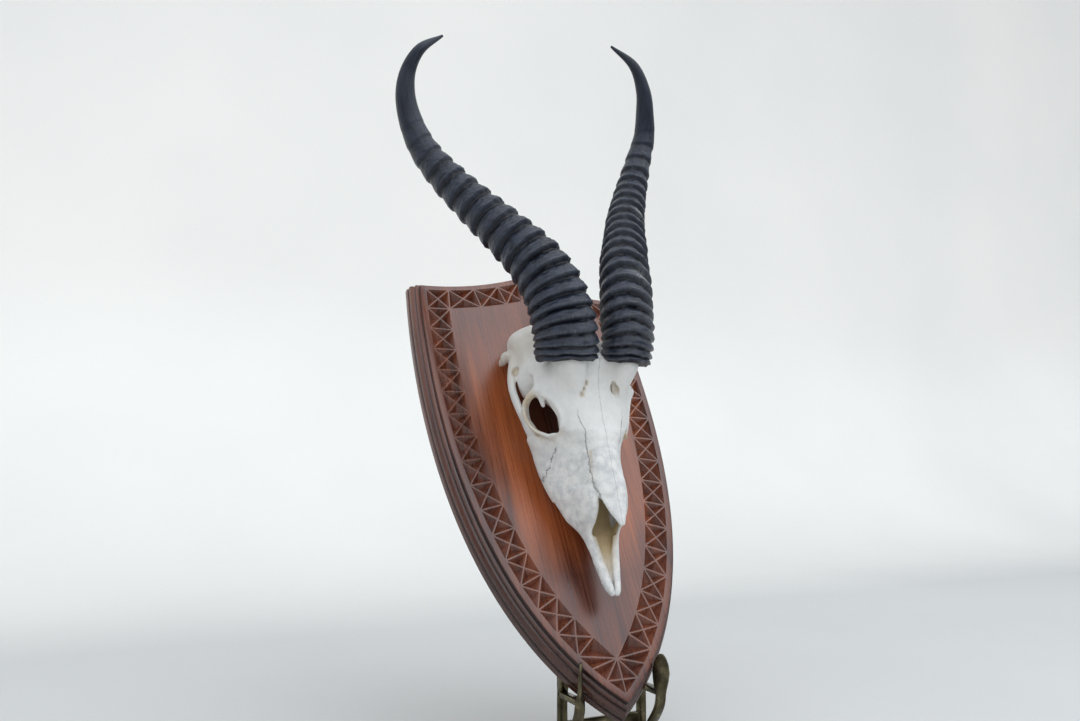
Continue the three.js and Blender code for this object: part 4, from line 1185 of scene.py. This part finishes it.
def floor_material():
    nodes = material_nodes("pale_floor")
    place = nodes.coordinates("Object")
    colour = nodes.ramp(nodes.noise(place, 1.5, 3, 0.5), FLOOR_TONES)
    glow = nodes.remap(nodes.split(place)["Y"], 0.45, 1.25, 0.0, 0.74)
    nodes.shade(Base_Color=colour, Roughness=0.75, Emission_Color=colour, Emission_Strength=glow)
    return nodes.owner


def make_sweep(material):
    """Floor that curves up into a backdrop."""
    profile = [(FLOOR_FRONT, 0.0), (BACKDROP_START, 0.0)]
    for angle in np.linspace(0.1, math.pi / 2, 14):
        y = BACKDROP_START + BACKDROP_BEND * math.sin(angle)
        profile.append((y, BACKDROP_BEND - BACKDROP_BEND * math.cos(angle)))
    profile.append((BACKDROP_START + BACKDROP_BEND, BACKDROP_TOP))
    points = [(x, y, z) for y, z in profile for x in (-FLOOR_HALF_WIDTH, FLOOR_HALF_WIDTH)]
    faces = [(2 * k, 2 * k + 1, 2 * k + 3, 2 * k + 2) for k in range(len(profile) - 1)]
    mesh = bpy.data.meshes.new("floor")
    mesh.from_pydata(points, [], faces)
    mesh.shade_smooth()
    mesh.materials.append(material)
    floor = add_object("floor", mesh)


def add_light(name, place, target, size, power, colour):
    data = bpy.data.lights.new(name, "AREA")
    data.shape = "DISK"
    data.size = size
    data.energy = power
    data.color = colour
    light = add_object(name, data)
    light.location = place
    light.rotation_euler = (Vector(target) - Vector(place)).to_track_quat("-Z", "Y").to_euler()


def add_camera():
    data = bpy.data.cameras.new("camera")
    data.lens = LENS
    data.sensor_width = SENSOR_WIDTH
    data.clip_start = 0.01
    camera = add_object("camera", data)
    camera.location = floor_to_row(CAMERA_PLACE)
    camera.rotation_euler = [math.radians(angle) for angle in CAMERA_TURN]
    bpy.context.scene.camera = camera


def add_sky():
    """Light from above that fades towards the horizon."""
    nodes = Nodes(bpy.data.worlds.new("studio"), "Background")
    up = nodes.split(nodes.coordinates("Generated"))["Z"]
    nodes.shade(Color=(*SKY_COLOUR, 1), Strength=nodes.remap(up, 0, 1, SKY_AT_HORIZON, SKY_OVERHEAD))
    bpy.context.scene.world = nodes.owner
    bpy.context.scene.view_settings.view_transform = "Standard"


add_camera()
add_sky()
make_sweep(floor_material())
add_light("window", (0.62, -0.8, 1.4), (0, 0, 0.3), 1.7, 8, (0.92, 0.96, 1.0))
add_light("room", (-0.9, -1.5, 0.9), (0, 0, 0.25), 1.4, 5, (1.0, 0.97, 0.93))

bone = bone_material()
horn = horn_material()
wood = wood_material()
brass = brass_material()
make_skull(bone)
make_horn("horn_left_sheath", "horn_left", LEFT_HOOK, -1, LEFT_RINGS, [], horn)
make_horn("horn_right_sheath", "horn_right", RIGHT_HOOK, 1, RIGHT_RINGS, RIGHT_FLAKES, horn)
make_shield(wood)
make_upright("easel_left_brass", "easel_upright_left", -1, brass)
make_upright("easel_right_brass", "easel_upright_right", 1, brass)
make_bar("easel_top_bar_brass", "easel_top_bar", leaned([(UPRIGHT_BACK, BAR_UP_SHIELD)])[0],
         (math.sin(LEAN), math.cos(LEAN)), brass)
make_bar("easel_low_bar_brass", "easel_low_bar", LOW_BAR_PLACE, (0, 1), brass)
make_rear_leg(brass)
